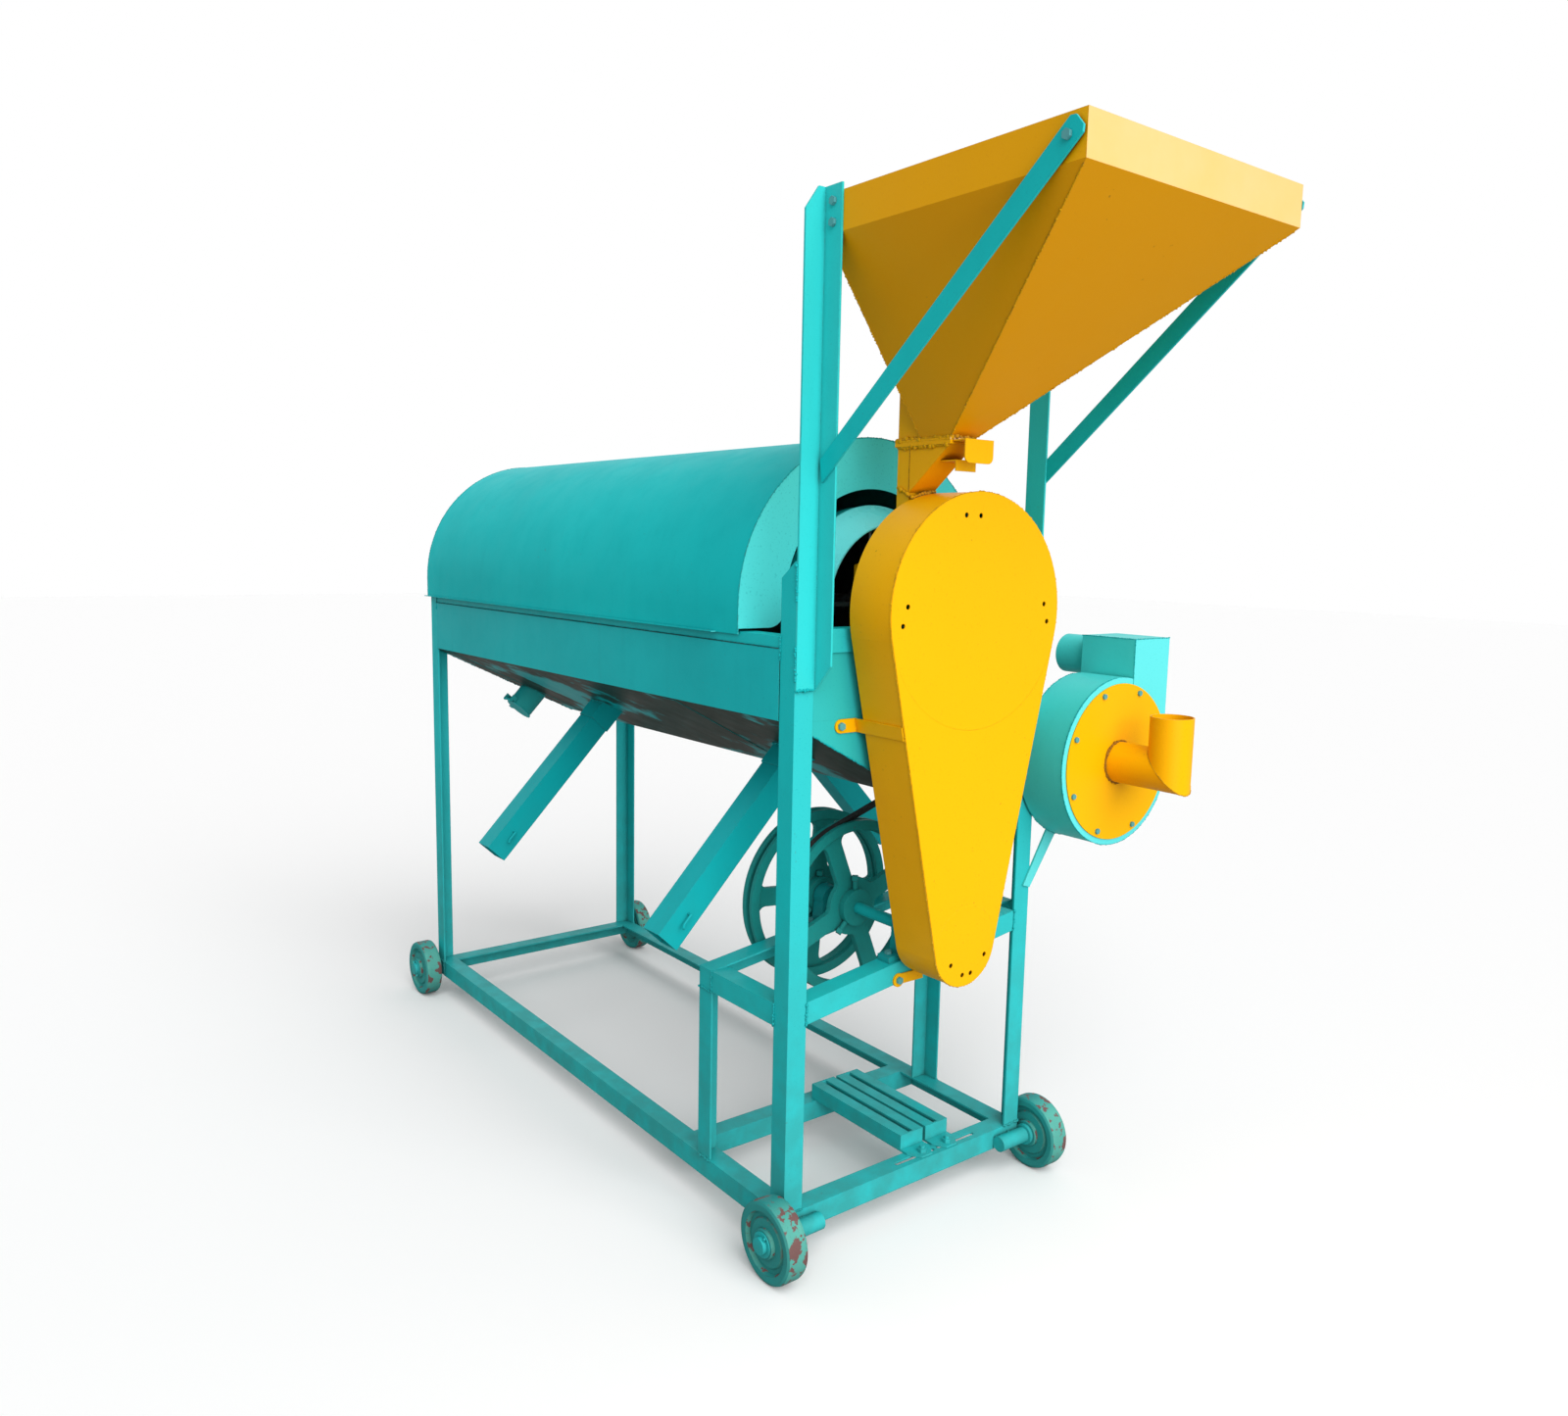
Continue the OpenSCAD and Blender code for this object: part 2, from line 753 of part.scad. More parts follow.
// The shaft with its spiders: a hub and flat arms inside each ring.
module drum_shaft() {
    arm_r0 = 30;
    arm_r1 = drum_r - ring_t - screen_t - seat;
    rod_x(-hx - 2, belt_x + 26, 0, drum_z, drum_shaft_r);
    for (x = rings_x) {
        rod_x(x, x + ring_w, 0, drum_z, spider_hub_r);
        for (i = [0 : arms - 1])
            translate([x + 5, 0, drum_z]) rotate([i * 360 / arms, 0, 0]) translate([0, -4, arm_r0])
                cube([ring_w - 10, 8, arm_r1 - arm_r0]);
    }
}

module drum_rings() {
    bar_w = 24;
    for (x = rings_x)
        difference() {
            rod_x(x, x + ring_w, 0, drum_z, drum_r);
            rod_x(x - 1, x + ring_w + 1, 0, drum_z, drum_r - ring_t);
            radial_cuts(0);
        }
    for (i = [0 : 5])
        translate([drum_x0 + 1, 0, drum_z]) rotate([30 + i * 60, 0, 0])
            translate([0, -bar_w / 2, drum_r - ring_t + 0.6]) cube([drum_x1 - drum_x0 - 2, bar_w, 5]);
}

// Three screens with holes of different sizes; the holes themselves are left to the looks.
module drum_screens() {
    r = drum_r - ring_t - seat;
    for (i = [0 : 2])
        difference() {
            rod_x(rings_x[i] + ring_w / 2 + 1, rings_x[i + 1] + ring_w / 2 - 1, 0, drum_z, r);
            rod_x(rings_x[i], rings_x[i + 1] + ring_w, 0, drum_z, r - screen_t + seat);
            radial_cuts(30);
        }
}

// The conical collar in front of the drum.
module drum_cone() {
    lip = 6;
    translate([0, 0, drum_z]) rotate([0, 90, 0]) rotate_extrude($fn = 96)
        polygon([[drum_r - ring_t, drum_x1], [cone_r, drum_x1], [cone_r, drum_x1 + lip],
            [mouth_r + cone_t, cone_x1], [mouth_r, cone_x1], [mouth_r, cone_x1 - cone_t],
            [cone_r - cone_t, drum_x1 + lip - cone_t], [drum_r - ring_t, drum_x1 + lip - cone_t]]);
}

// Pulleys and belts

// Half section of a V-grooved rim: radius against width, centred on its groove
function rim_profile(r, w, deep) =
    let (
        top = belt_w / 2 + groove_gap,
        bottom = top - deep * tan(groove_half),
        inner = r - deep - 10)
    [[inner, -w / 2], [r, -w / 2], [r, -top], [r - deep, -bottom], [r - deep, bottom], [r, top],
        [r, w / 2], [inner, w / 2]];

// A point at distance r and angle a
function polar(r, a) = [r * cos(a), r * sin(a)];

// Points along an arc in n steps; skip leaves out its ends
function arc(c, r, a0, a1, n, skip = 0) =
    [for (i = [skip : n - skip]) c + polar(r, a0 + (a1 - a0) * i / n)];

// A window between two spokes, centred on the X axis, with its four corners rounded
module window(r_in, r_out) {
    half = 180 / spokes;
    c_in = 12;
    c_out = 20;
    a_in = half - asin((spoke_w / 2 + c_in) / (r_in + c_in));
    a_out = half - asin((spoke_w / 2 + c_out) / (r_out - c_out));
    polygon(concat(
        arc([0, 0], r_out, -a_out, a_out, 16, 1),
        arc(polar(r_out - c_out, a_out), c_out, a_out, half + 90, 6),
        arc(polar(r_in + c_in, a_in), c_in, half + 90, a_in + 180, 6),
        arc([0, 0], r_in, a_in, -a_in, 8, 1),
        arc(polar(r_in + c_in, -a_in), c_in, 180 - a_in, 270 - half, 6),
        arc(polar(r_out - c_out, -a_out), c_out, 270 - half, 360 - a_out, 6)));
}

// A cast pulley with flat broad arms, on a shaft along X.
module spoked_pulley(x, y, z, shaft_r, turn) {
    deep = belt_h + 3;
    web = 14;
    inner = big_r - deep - 10;
    proud = 8;
    translate([x, y, z]) rotate([0, 90, 0]) difference() {
        union() {
            rotate_extrude($fn = 96) polygon(rim_profile(big_r, rim_w, deep));
            translate([0, 0, -web / 2]) linear_extrude(web) difference() {
                circle(r = inner + 1, $fn = 96);
                for (i = [0 : spokes - 1])
                    rotate(turn + i * 360 / spokes) window(hub_r + 27, inner - 3);
            }
            translate([0, 0, -rim_w / 2 - proud]) cylinder(h = rim_w + 2 * proud, r = hub_r);
        }
        translate([0, 0, -rim_w]) cylinder(h = 2 * rim_w, r = shaft_r + seat);
    }
}

module plain_pulley(x, y, z, shaft_r) {
    deep = belt_h + 3;
    w = belt_w + 12;
    boss = 12;
    translate([x, y, z]) rotate([0, 90, 0]) difference() {
        union() {
            rotate_extrude() polygon(rim_profile(small_r, w, deep));
            translate([0, 0, -w / 2 - boss]) cylinder(h = w + boss, r = small_r - deep - 6);
        }
        translate([0, 0, -2 * w]) cylinder(h = 4 * w, r = shaft_r);
    }
}

// Section of a belt: distance from the pulley's axis against width
function belt_section(r) =
    let (low = belt_w / 2 - belt_h * tan(groove_half))
    [[r, -belt_w / 2], [r, belt_w / 2], [r - belt_h, low], [r - belt_h, -low]];

// A V-belt around a large pulley at p and a small one at q; both are [y, z]. Its two bends and
// two straight runs are separate solids a hair apart.
module v_belt(x, p, q) {
    d = q - p;
    span = norm(d);
    aim = atan2(d[1], d[0]);
    lean = acos((big_r - small_r) / span);
    length = span * sin(lean);
    translate([x, p[0], p[1]]) along_x() {
        rotate(aim + lean) rotate_extrude(angle = 360 - 2 * lean, $fn = 96) polygon(belt_section(big_r));
        for (s = [-1, 1])
            rotate(aim + s * lean) rotate([s * 90, 0, 0]) translate([0, 0, belt_split])
                linear_extrude(length - 2 * belt_split) polygon(belt_section(big_r));
    }
    translate([x, q[0], q[1]]) along_x()
        rotate(aim - lean) rotate_extrude(angle = 2 * lean, $fn = 96) polygon(belt_section(small_r));
}

// A pillow block of centre height c, its foot on the plane through the origin.
module pillow_block(c, shaft_r, foot) {
    w = block_w;
    r = shaft_r + 17;
    shoulder = r + 10;
    difference() {
        union() {
            translate([-w / 2, -foot, 0]) cube([w, 2 * foot, foot_t]);
            translate([-w / 2, 0, 0]) along_x() linear_extrude(w)
                polygon([[-shoulder, foot_t - 1], [shoulder, foot_t - 1], [0.8 * r, c + 0.6 * r],
                    [-0.8 * r, c + 0.6 * r]]);
            translate([-w / 2, 0, c]) rotate([0, 90, 0]) cylinder(h = w, r = r);
            translate([0, 0, c + r - 3]) cylinder(h = 9, r = 4);
        }
        translate([-w, 0, c]) rotate([0, 90, 0]) cylinder(h = 2 * w, r = shaft_r + run);
        for (y = [foot_hole - foot, foot - foot_hole])
            translate([0, y, -1]) cylinder(h = foot_t + 2, r = bolt_hole_r);
    }
}

// Puts a child with a flat foot on the slope, its middle under the lay shaft.
module on_slope(x) {
    translate([x, lay_y, lay_z]) rotate([tilt, 0, 0]) translate([0, 0, -lay_seat_h]) children();
}

module pillow_bolt_holes(x) {
    on_slope(x)
        for (y = [foot_hole - lay_foot_l, lay_foot_l - foot_hole])
            translate([0, y, -angle_t - 2]) cylinder(h = angle_t + 4, r = bolt_hole_r);
}

module pillow_blocks() {
    for (x = lay_blocks_x)
        on_slope(x) pillow_block(lay_seat_h, lay_r, lay_foot_l);
}

module drum_bearings() {
    for (sx = [-1, 1])
        translate([sx * (leg_x + angle_a / 2), 0, end_top])
            pillow_block(drum_z - end_top, drum_shaft_r, drum_foot_l);
}

// Trough

// Cross section of the trough drawn in by a margin
module trough_yz(m, top) {
    y = trough_y - m;
    keel = keel_z + m / cos(fall_angle);
    polygon([[-y, top], [-y, keel + fall * y], [0, keel], [y, keel + fall * y], [y, top]]);
}

// Side view of the trough drawn in by a margin; its rear end slopes up from the keel
module trough_xz(m, top) {
    low = keel_z - 1;
    slide = hip_run - end_x + m * norm([1, hip]) / hip;
    polygon([[end_x - m, top], [end_x - m, low], [slide + 1 / hip, low],
        [m - end_x, keel_z + hip * (slide + end_x - m)], [m - end_x, top]]);
}

// The trough's cross-section, drawn in by a margin and drawn out along the frame
module trough_across(m) {
    top = m > 0 ? trough_top + 1 : trough_top;
    translate([-hx, 0, 0]) along_x() linear_extrude(frame_l) trough_yz(m, top);
}

// The trough's side view, drawn in by a margin and drawn out across the frame
module trough_along(m) {
    top = m > 0 ? trough_top + 1 : trough_top;
    plate_y(-hy - 20, hy + 20) trough_xz(m, top);
}

// The trough's sheets: two ends, two upright sides and two sloping panels, cut apart at the bends
module trough_sheets() {
    difference() {
        union() {
            difference() {
                intersection() {
                    trough_across(0);
                    trough_along(0);
                }
                trough_along(skin);
            }
            difference() {
                intersection() {
                    trough_across(0);
                    trough_along(skin + weld_gap);
                    block(-hx, hx, -frame_w, frame_w, 0, trough_top);
                }
                trough_across(skin);
            }
        }
        block(-hx, hx, -frame_w, frame_w, knee_z, knee_z + weld_gap);
        block(-hx, hx, -weld_gap / 2, weld_gap / 2, keel_z - 1, knee_z);
        for (s = [-1, 1])
            block(drain_x + s * drain_strip, drain_x + s * drain_strip + weld_gap, -hy, 0, keel_z - 1,
                knee_z);
    }
}

// Places a child with its Z axis along a chute, from the trough's panel downwards.
module on_outlet(x, y, sy) {
    translate([x, sy * y, keel_z + fall * y]) rotate([-sy * (90 + chute_slope), 0, 0]) children();
}

// All that lies above the trough's outer panel on one side
module above_panel(sy) {
    translate([-hx, 0, keel_z]) rotate([sy * fall_angle, 0, 0])
        translate([0, -frame_w, 0]) cube([frame_l, 2 * frame_w, frame_w]);
}

// The drain's stub with the lugs that hold its flap's pin
module drain_stub() {
    lug_x = barrel_l / 2 + seat;
    lug_t = 5;
    lug_r = 5;
    difference() {
        on_outlet(drain_x, drain_y, -1) difference() {
            translate([0, 0, -60]) cylinder(h = 60 + drain_l, r = drain_r);
            translate([0, 0, -70]) cylinder(h = 200, r = drain_r - chute_t);
        }
        above_panel(-1);
    }
    on_outlet(drain_x, drain_y, -1) {
        for (s = [-1, 1])
            translate([s * (lug_x + lug_t / 2) - lug_t / 2, 0, 0]) {
                translate([0, drain_r - 6, drain_l - 16]) cube([lug_t, hinge_y + lug_r - drain_r + 6, 15]);
                translate([0, hinge_y - lug_r, drain_l - 2]) cube([lug_t, 2 * lug_r, hinge_z - drain_l + 2]);
                translate([0, hinge_y, hinge_z]) rotate([0, 90, 0]) cylinder(h = lug_t, r = lug_r);
            }
        translate([-lug_x - lug_t, hinge_y, hinge_z]) rotate([0, 90, 0])
            cylinder(h = 2 * (lug_x + lug_t), r = pin_r);
    }
}

module drain_flap() {
    on_outlet(drain_x, drain_y, -1) difference() {
        union() {
            translate([0, 0, flap_z]) cylinder(h = flap_t, r = drain_r + 3);
            translate([-12, drain_r - 2, flap_z]) cube([24, hinge_y - drain_r, flap_t]);
            translate([-barrel_l / 2, hinge_y, hinge_z]) rotate([0, 90, 0])
                cylinder(h = barrel_l, r = barrel_r);
            translate([-drain_r - 24, -6, flap_z]) cube([28, 12, flap_t]);
        }
        translate([-barrel_l, hinge_y, hinge_z]) rotate([0, 90, 0])
            cylinder(h = 2 * barrel_l, r = pin_r + run);
    }
}

module trough() {
    cut = 2 * (angle_a + 2);
    difference() {
        trough_sheets();
        for (sx = [-1, 1]) for (sy = [-1, 1])
            translate([sx * hx, sy * hy, knee_z]) cube([cut, 2 * angle_t, 2 * frame_w], center = true);
        for (c = [[chute_rear_x, -1], [chute_far_x, 1], [chute_front_x, -1]])
            on_outlet(c[0], outlet_y, c[1])
                cube([chute_s - 2 * chute_t, chute_s - 2 * chute_t, 120], center = true);
        on_outlet(drain_x, drain_y, -1) cylinder(h = 120, r = drain_r - chute_t, center = true);
        rod_x(end_x - skin - 1, end_x + 1, strap_bolt_y, strap_z, bolt_hole_r);
    }
    drain_stub();
}

// A bent rod that holds a bag, on a face of the chute.
module bag_hook(side) {
    rod = 3;
    out = 12;
    rise = 26;
    translate([side * (chute_s / 2 - 1), 0, chute_end - 78]) {
        rotate([0, side * 90, 0]) cylinder(h = out, r = rod);
        translate([side * out, 0, 0]) {
            sphere(r = rod);
            cylinder(h = rise, r = rod);
            translate([0, 0, rise]) sphere(r = rod);
            translate([0, 0, rise]) rotate([0, side * 40, 0]) cylinder(h = 12, r = rod);
        }
    }
}

module chute(x, sy) {
    bore = chute_s - 2 * chute_t;
    wide = chute_s + 2 * sleeve_wall;
    above = 60;
    difference() {
        on_outlet(x, outlet_y, sy) difference() {
            union() {
                translate([-chute_s / 2, -chute_s / 2, -above]) cube([chute_s, chute_s, above + chute_end]);
                translate([-wide / 2, -wide / 2, -above]) cube([wide, wide, above + sleeve_l]);
                for (side = [-1, 1])
                    bag_hook(side);
            }
            translate([-bore / 2, -bore / 2, -above - 1]) cube([bore, bore, above + chute_end + 2]);
        }
        above_panel(sy);
    }
}

// Hood

// The half-round outline, cut off level at z0
module hood_face(r, z0) {
    intersection() {
        union() {
            translate([0, hood_z]) circle(r = r, $fn = 128);
            translate([-r, z0]) square([2 * r, hood_z - z0]);
        }
        translate([-r, z0]) square([2 * r, 2 * r]);
    }
}

module hood() {
    lip = 12;
    lip_x1 = hood_x1 - 85;
    corner_r = 45;
    foot_z = side_top + 6;
    r = hood_r - skin / 2;
    translate([hood_x0, 0, 0]) along_x() linear_extrude(hood_x1 - hood_x0) difference() {
        hood_face(hood_r, skirt_z);
        hood_face(hood_r - skin, skirt_z - 1);
    }
    translate([hood_x0, 0, 0]) along_x() linear_extrude(skin) hood_face(r, skirt_z);
    translate([hood_x1 - skin, 0, 0]) along_x() linear_extrude(skin) difference() {
        hood_face(r, foot_z);
        translate([0, arch_z]) circle(r = arch_r, $fn = 96);
        translate([-arch_r, side_top]) square([2 * arch_r, arch_z - side_top]);
        for (m = [0, 1]) mirror([m, 0]) difference() {
            translate([arch_r - 1, side_top]) square([corner_r + 1, foot_z + corner_r - side_top]);
            translate([arch_r + corner_r, foot_z + corner_r]) circle(r = corner_r);
        }
    }
    both_sides() block(hood_x0, lip_x1, hood_r - skin, hood_r + lip, skirt_z, skirt_z + skin);
}

// Blower

// Outline of the scroll drawn in by a margin
module scroll(m) {
    translate([fan_y, fan_z]) circle(r = fan_r - m, $fn = 96);
    translate([box_y0 + m, fan_z]) square([box_y1 - box_y0 - 2 * m, box_top - m - fan_z]);
}

module cover_bolt_holes() {
    for (i = [0 : 7])
        translate([0, fan_y, fan_z]) rotate([22.5 + 45 * i, 0, 0])
            rod_x(fan_x1 - 5, fan_x1 + 5, 0, cover_pcr, cover_bolt_r + seat);
}

// The scroll, its outlet box and stub, the bearing tube behind it and its mounting on the leg
module blower_housing() {
    box_low = box_top - 2 * pipe_r - 16;
    rib = 60;
    difference() {
        union() {
            translate([fan_x0, 0, 0]) along_x() linear_extrude(fan_w) scroll(0);
            block(box_x0, fan_x1, box_y0, box_y1, box_low, box_top);
            rod_x(outlet_x, box_x0 + 1, outlet_y_axis, outlet_z_axis, pipe_r);
            rod_x(bearing_x0, fan_x0 + 1, fan_y, fan_z, bearing_r);
            for (a = [45 : 90 : 315])
                translate([0, fan_y, fan_z]) rotate([a, 0, 0]) plate_y(-3, 3)
                    polygon([[fan_x0 + 1, bearing_r - 4], [fan_x0 + 1, bearing_r + rib],
                        [fan_x0, bearing_r + rib], [fan_x0 - rib, bearing_r - 4]]);
            blower_mount();
        }
        translate([fan_x0 + sheet, 0, 0]) along_x() linear_extrude(fan_w - 2 * sheet) scroll(sheet);
        block(box_x0 + sheet, fan_x1 - sheet, box_y0 + sheet, box_y1 - sheet, box_low + sheet,
            box_top - sheet);
        rod_x(outlet_x - 1, box_x0 + sheet + 1, outlet_y_axis, outlet_z_axis, pipe_r - sheet);
        rod_x(bearing_x0 - 1, fan_x0 + sheet + 1, fan_y, fan_z, fan_shaft_r + run);
        rod_x(fan_x1 - sheet - 1, fan_x1 + 1, fan_y, fan_z, cover_pcr - 16);
        cover_bolt_holes();
    }
}

// A packing plate on the far front leg and a flat brace under the housing
module blower_mount() {
    brace_y = leg_y + 24;
    brace_z = fan_z - 316;
    block(hx, fan_x0, leg_y + 4, hy + 40, fan_z - 70, fan_z + 90);
    translate([hx, brace_y, brace_z]) along_x() linear_extrude(angle_t)
        polygon([[0, 0], [24, -8], [116, 126], [88, 148]]);
}

// The half of space on one side of the elbow's mitre
module mitre(side) {
    big = 800;
    translate([elbow_x, fan_y, fan_z]) rotate([0, -45, 0]) translate([side * big / 2, 0, 0])
        cube(big, center = true);
}

// The elbow's two limbs with outer radius r; its ends reach out further by a margin.
module elbow(r, margin) {
    difference() {
        rod_x(fan_x1 - margin, elbow_x + r, fan_y, fan_z, r);
        mitre(1);
    }
    difference() {
        translate([elbow_x, fan_y, fan_z - r]) cylinder(h = elbow_top - fan_z + r + margin, r = r);
        mitre(-1);
    }
}

module blower_cover() {
    difference() {
        union() {
            rod_x(fan_x1, fan_x1 + disc_t, fan_y, fan_z, disc_r);
            elbow(pipe_r, 0);
        }
        elbow(pipe_r - sheet, 1);
        cover_bolt_holes();
    }
    difference() {
        translate([elbow_x, fan_y, elbow_top - hose_seat - stop_t]) cylinder(h = stop_t, r = pipe_r - 1);
        translate([elbow_x, fan_y, elbow_top - hose_seat - 2 * stop_t])
            cylinder(h = 4 * stop_t, r = pipe_r - sheet - stop_w);
    }
}

module blower_rotor() {
    back = fan_x0 + 26;
    blade_r = disc_r - 38;
    hub = 28;
    blade = 70;
    rod_x(lay_pulley_x - 30, back + 40, fan_y, fan_z, fan_shaft_r);
    plain_pulley(lay_pulley_x, fan_y, fan_z, fan_shaft_r - 1);
    rod_x(back, back + 3, fan_y, fan_z, blade_r);
    rod_x(back, back + 36, fan_y, fan_z, hub);
    for (i = [0 : blades - 1])
        translate([back + 1, fan_y, fan_z]) rotate([i * 360 / blades, 0, 0])
            translate([0, -2, hub - 4]) cube([blade, 4, blade_r - hub + 2]);
}

// Running gear

// A stub across the end of a base rail, with its weld and a split pin's ends.
module axle_stub(sx, sy) {
    weld = 11;
    pin = 2.5;
    stub_end = pin_y + 6;
    mirror([sx > 0 ? 0 : 1, 0, 0]) mirror([0, sy > 0 ? 0 : 1, 0]) {
        rod_y(axle_x, hy - axle_in, stub_end, wheel_r, axle_r);
        block(hx, hx + weld, hy - axle_in, hy, wheel_r - weld, wheel_r + weld);
        translate([axle_x, pin_y, wheel_r]) rotate([0, 35, 0])
            cylinder(h = 2 * axle_r + 18, r = pin, center = true);
    }
}

module axle_stubs() {
    for (sx = [-1, 1]) for (sy = [-1, 1])
        axle_stub(sx, sy);
}

// A washer outside and a collar inside each wheel
module wheel_retainers() {
    for (sx = [-1, 1]) for (sy = [-1, 1])
        mirror([0, sy > 0 ? 0 : 1, 0])
            for (ring = [[hub_out, hub_out + washer_t, axle_r + 9], [hub_in - 9, hub_in, axle_r + 7]])
                difference() {
                    rod_y(sx * axle_x, ring[0], ring[1], wheel_r, ring[2]);
                    rod_y(sx * axle_x, ring[0] - 1, ring[1] + 1, wheel_r, axle_r);
                }
}

// A cast wheel with a raised tread, a dished web and a stepped hub.
module wheel(sx, sy) {
    w = wheel_w / 2;
    hub = w + hub_proud;
    dish = 11;
    boss = axle_r + 14;
    half = [[boss - 2, hub], [boss, hub - 2], [boss, w - 6], [wheel_r * 0.58, w - 6],
        [wheel_r * 0.62, w - dish], [wheel_r * 0.72, w - dish], [wheel_r * 0.76, w - 1],
        [wheel_r - 8, w], [wheel_r - 2, w - 3], [wheel_r, w - 9]];
    back = [for (i = [len(half) - 1 : -1 : 0]) [half[i][0], -half[i][1]]];
    translate([sx * axle_x, sy * wheel_y, wheel_r]) rotate([90, 0, 0]) rotate_extrude($fn = 96)
        polygon(concat([[axle_r + run, hub]], half, back, [[axle_r + run, -hub]]));
}

// Motor rails

// A channel with a slot along its top, an end plate and a foot clamped in the base rail's slot
module motor_rail(y) {
    t = 5;
    slot = 14;
    half = slide_w / 2;
    z1 = base_h + slide_h;
    foot_x = stud_x + 18;
    hex = stud_r * 1.8;
    both = [-1, 1];
    translate([0, y, 0]) difference() {
        union() {
            for (s = both) {
                block(slide_x0, slide_x1, s > 0 ? slot / 2 : -half, s > 0 ? half : -slot / 2, z1 - t, z1);
                block(slide_x0, slide_x1, s > 0 ? half - t : -half, s > 0 ? half : t - half, base_h, z1);
            }
            block(slide_x1 - t, slide_x1, -half, half, base_h, z1);
            block(slide_x0, slide_x0 + t, -half, half, base_h, z1);
            translate([0, 0, base_h]) linear_extrude(t)
                polygon([[slide_x1 - t, -half], [foot_x - 32, -half], [foot_x, 20 - half],
                    [foot_x, half - 20], [foot_x - 32, half], [slide_x1 - t, half]]);
            translate([stud_x, 0, base_h - 15]) cylinder(h = 36, r = stud_r);
            translate([stud_x, 0, base_h + t]) cylinder(h = 9, r = hex, $fn = 6);
            translate([stud_x, 0, base_h - angle_t - seat - 7]) cylinder(h = 7, r = hex, $fn = 6);
        }
    }
}

// Fasteners

// A hexagon bolt along +X with its head at the origin and a nut at the end of its grip.
module bolt_and_nut(r, grip) {
    nut = 1.5 * r;
    rotate([0, 90, 0]) {
        cylinder(h = 1.3 * r, r = 1.8 * r, $fn = 6);
        translate([0, 0, -grip - nut - 2]) cylinder(h = grip + nut + 3, r = r);
        translate([0, 0, -grip - nut]) cylinder(h = nut, r = 1.8 * r, $fn = 6);
    }
}

// Hopper bolts on the side s, and the bolts of the brace's upper end
module hopper_bolts(y, s) {
    for (z = mast_bolts_z)
        translate([mast_bolt_x, y + s * angle_t, z]) rotate([0, 0, s * 90])
            bolt_and_nut(bolt_r, angle_t + sheet);
    translate([brace_x1, y + s * 2 * angle_t, brace_z1]) rotate([0, 0, s * 90])
        bolt_and_nut(bolt_r, 2 * angle_t + sheet);
}

// The two bolts of a bearing whose foot is on the plane through the origin
module foot_bolts(foot) {
    for (y = [foot_hole - foot, foot - foot_hole])
        translate([0, y, foot_t]) rotate([0, -90, 0]) bolt_and_nut(bolt_r, foot_t + angle_t);
}

module fasteners() {
    hopper_bolts(-rim_near, -1);
    hopper_bolts(rim_far, 1);
    for (i = [0 : 7])
        translate([fan_x1 + disc_t, fan_y, fan_z]) rotate([22.5 + 45 * i, 0, 0])
            translate([0, 0, cover_pcr]) bolt_and_nut(cover_bolt_r, disc_t + sheet);
    translate([end_x + strap_t, strap_bolt_y, strap_z]) bolt_and_nut(bolt_r, strap_t + skin);
    translate([hx + strap_t, ear_bolt_y, ear_bolt_z]) bolt_and_nut(bolt_r, strap_t + angle_t);
    for (x = lay_blocks_x)
        on_slope(x) foot_bolts(lay_foot_l);
    for (sx = [-1, 1])
        translate([sx * (leg_x + angle_a / 2), 0, end_top]) foot_bolts(drum_foot_l);
}

// What is drawn

placed() color(teal) front_leg(-1);  // leg_near_front
placed() color(teal) leg(-1, -1, end_top);  // leg_near_rear
placed() color(teal) front_leg(1);  // leg_far_front
placed() color(teal) leg(-1, 1, end_top);  // leg_far_rear
placed() color(teal) base_side(-1);  // base_near
placed() color(teal) base_side(1);  // base_far
placed() color(teal) base_front();
placed() color(teal) rail_y(-hx, -hy, hy, base_h, 1);  // base_rear
placed() color(teal) base_cross();
placed() color(teal) inner_post(-1);  // post_near
placed() color(teal) inner_post(1);  // post_far
placed() color(teal) sub_side(-1);  // sub_near_rail
placed() color(teal) sub_side(1);  // sub_far_rail
placed() color(teal) sub_front();  // sub_front_rail
placed() color(teal) sub_rear();  // sub_rear_rail
placed() color(teal) top_side(-1);  // top_near
placed() color(teal) top_side(1);  // top_far
placed() color(teal) top_cross(1);  // top_front
placed() color(teal) top_cross(-1);  // top_rear
placed() color(teal) upright(-rim_near, -1);  // upright_near
placed() color(teal) upright(rim_far, 1);  // upright_far
placed() color(teal) hopper_braces();
placed() color(teal) axle_stubs();
placed() color(teal) wheel_retainers();
placed() color(teal) wheel(1, -1);  // wheel_near_front
placed() color(teal) wheel(-1, -1);  // wheel_near_rear
placed() color(teal) wheel(1, 1);  // wheel_far_front
placed() color(teal) wheel(-1, 1);  // wheel_far_rear
placed() color(yellow) hopper();
placed() color(yellow) gate_frame();
placed() color(yellow) slide_gate();
placed() color(yellow) feed_chute();
placed() color(yellow) guard_band();
placed() color(yellow) guard_plate();
placed() color(yellow) guard_straps();
placed() color(steel) drum_shaft();
placed() color(teal) drum_rings();
placed() color(steel) drum_screens();
placed() color(teal) drum_cone();
placed() color(teal)  // drum_pulley
    spoked_pulley(belt_x, 0, drum_z, drum_shaft_r, 45);
placed() color(black)  // drum_belt
    v_belt(belt_x, [0, drum_z], [lay_y, lay_z]);
placed() color(teal) drum_bearings();
placed() color(teal) rod_x(lay_x0, lay_x1, lay_y, lay_z, lay_r);  // lay_shaft
placed() color(teal)  // lay_pulley
    spoked_pulley(lay_pulley_x, lay_y, lay_z, lay_r, 67);
placed() color(teal)  // idle_pulley
    spoked_pulley(idle_pulley_x, lay_y, lay_z, lay_r, 40);
placed() color(steel)  // small_pulley
    plain_pulley(belt_x, lay_y, lay_z, lay_r + seat);
placed() color(teal) pillow_blocks();
placed() color(black)  // blower_belt
    v_belt(lay_pulley_x, [lay_y, lay_z], [fan_y, fan_z]);
placed() color(dark_teal) trough();
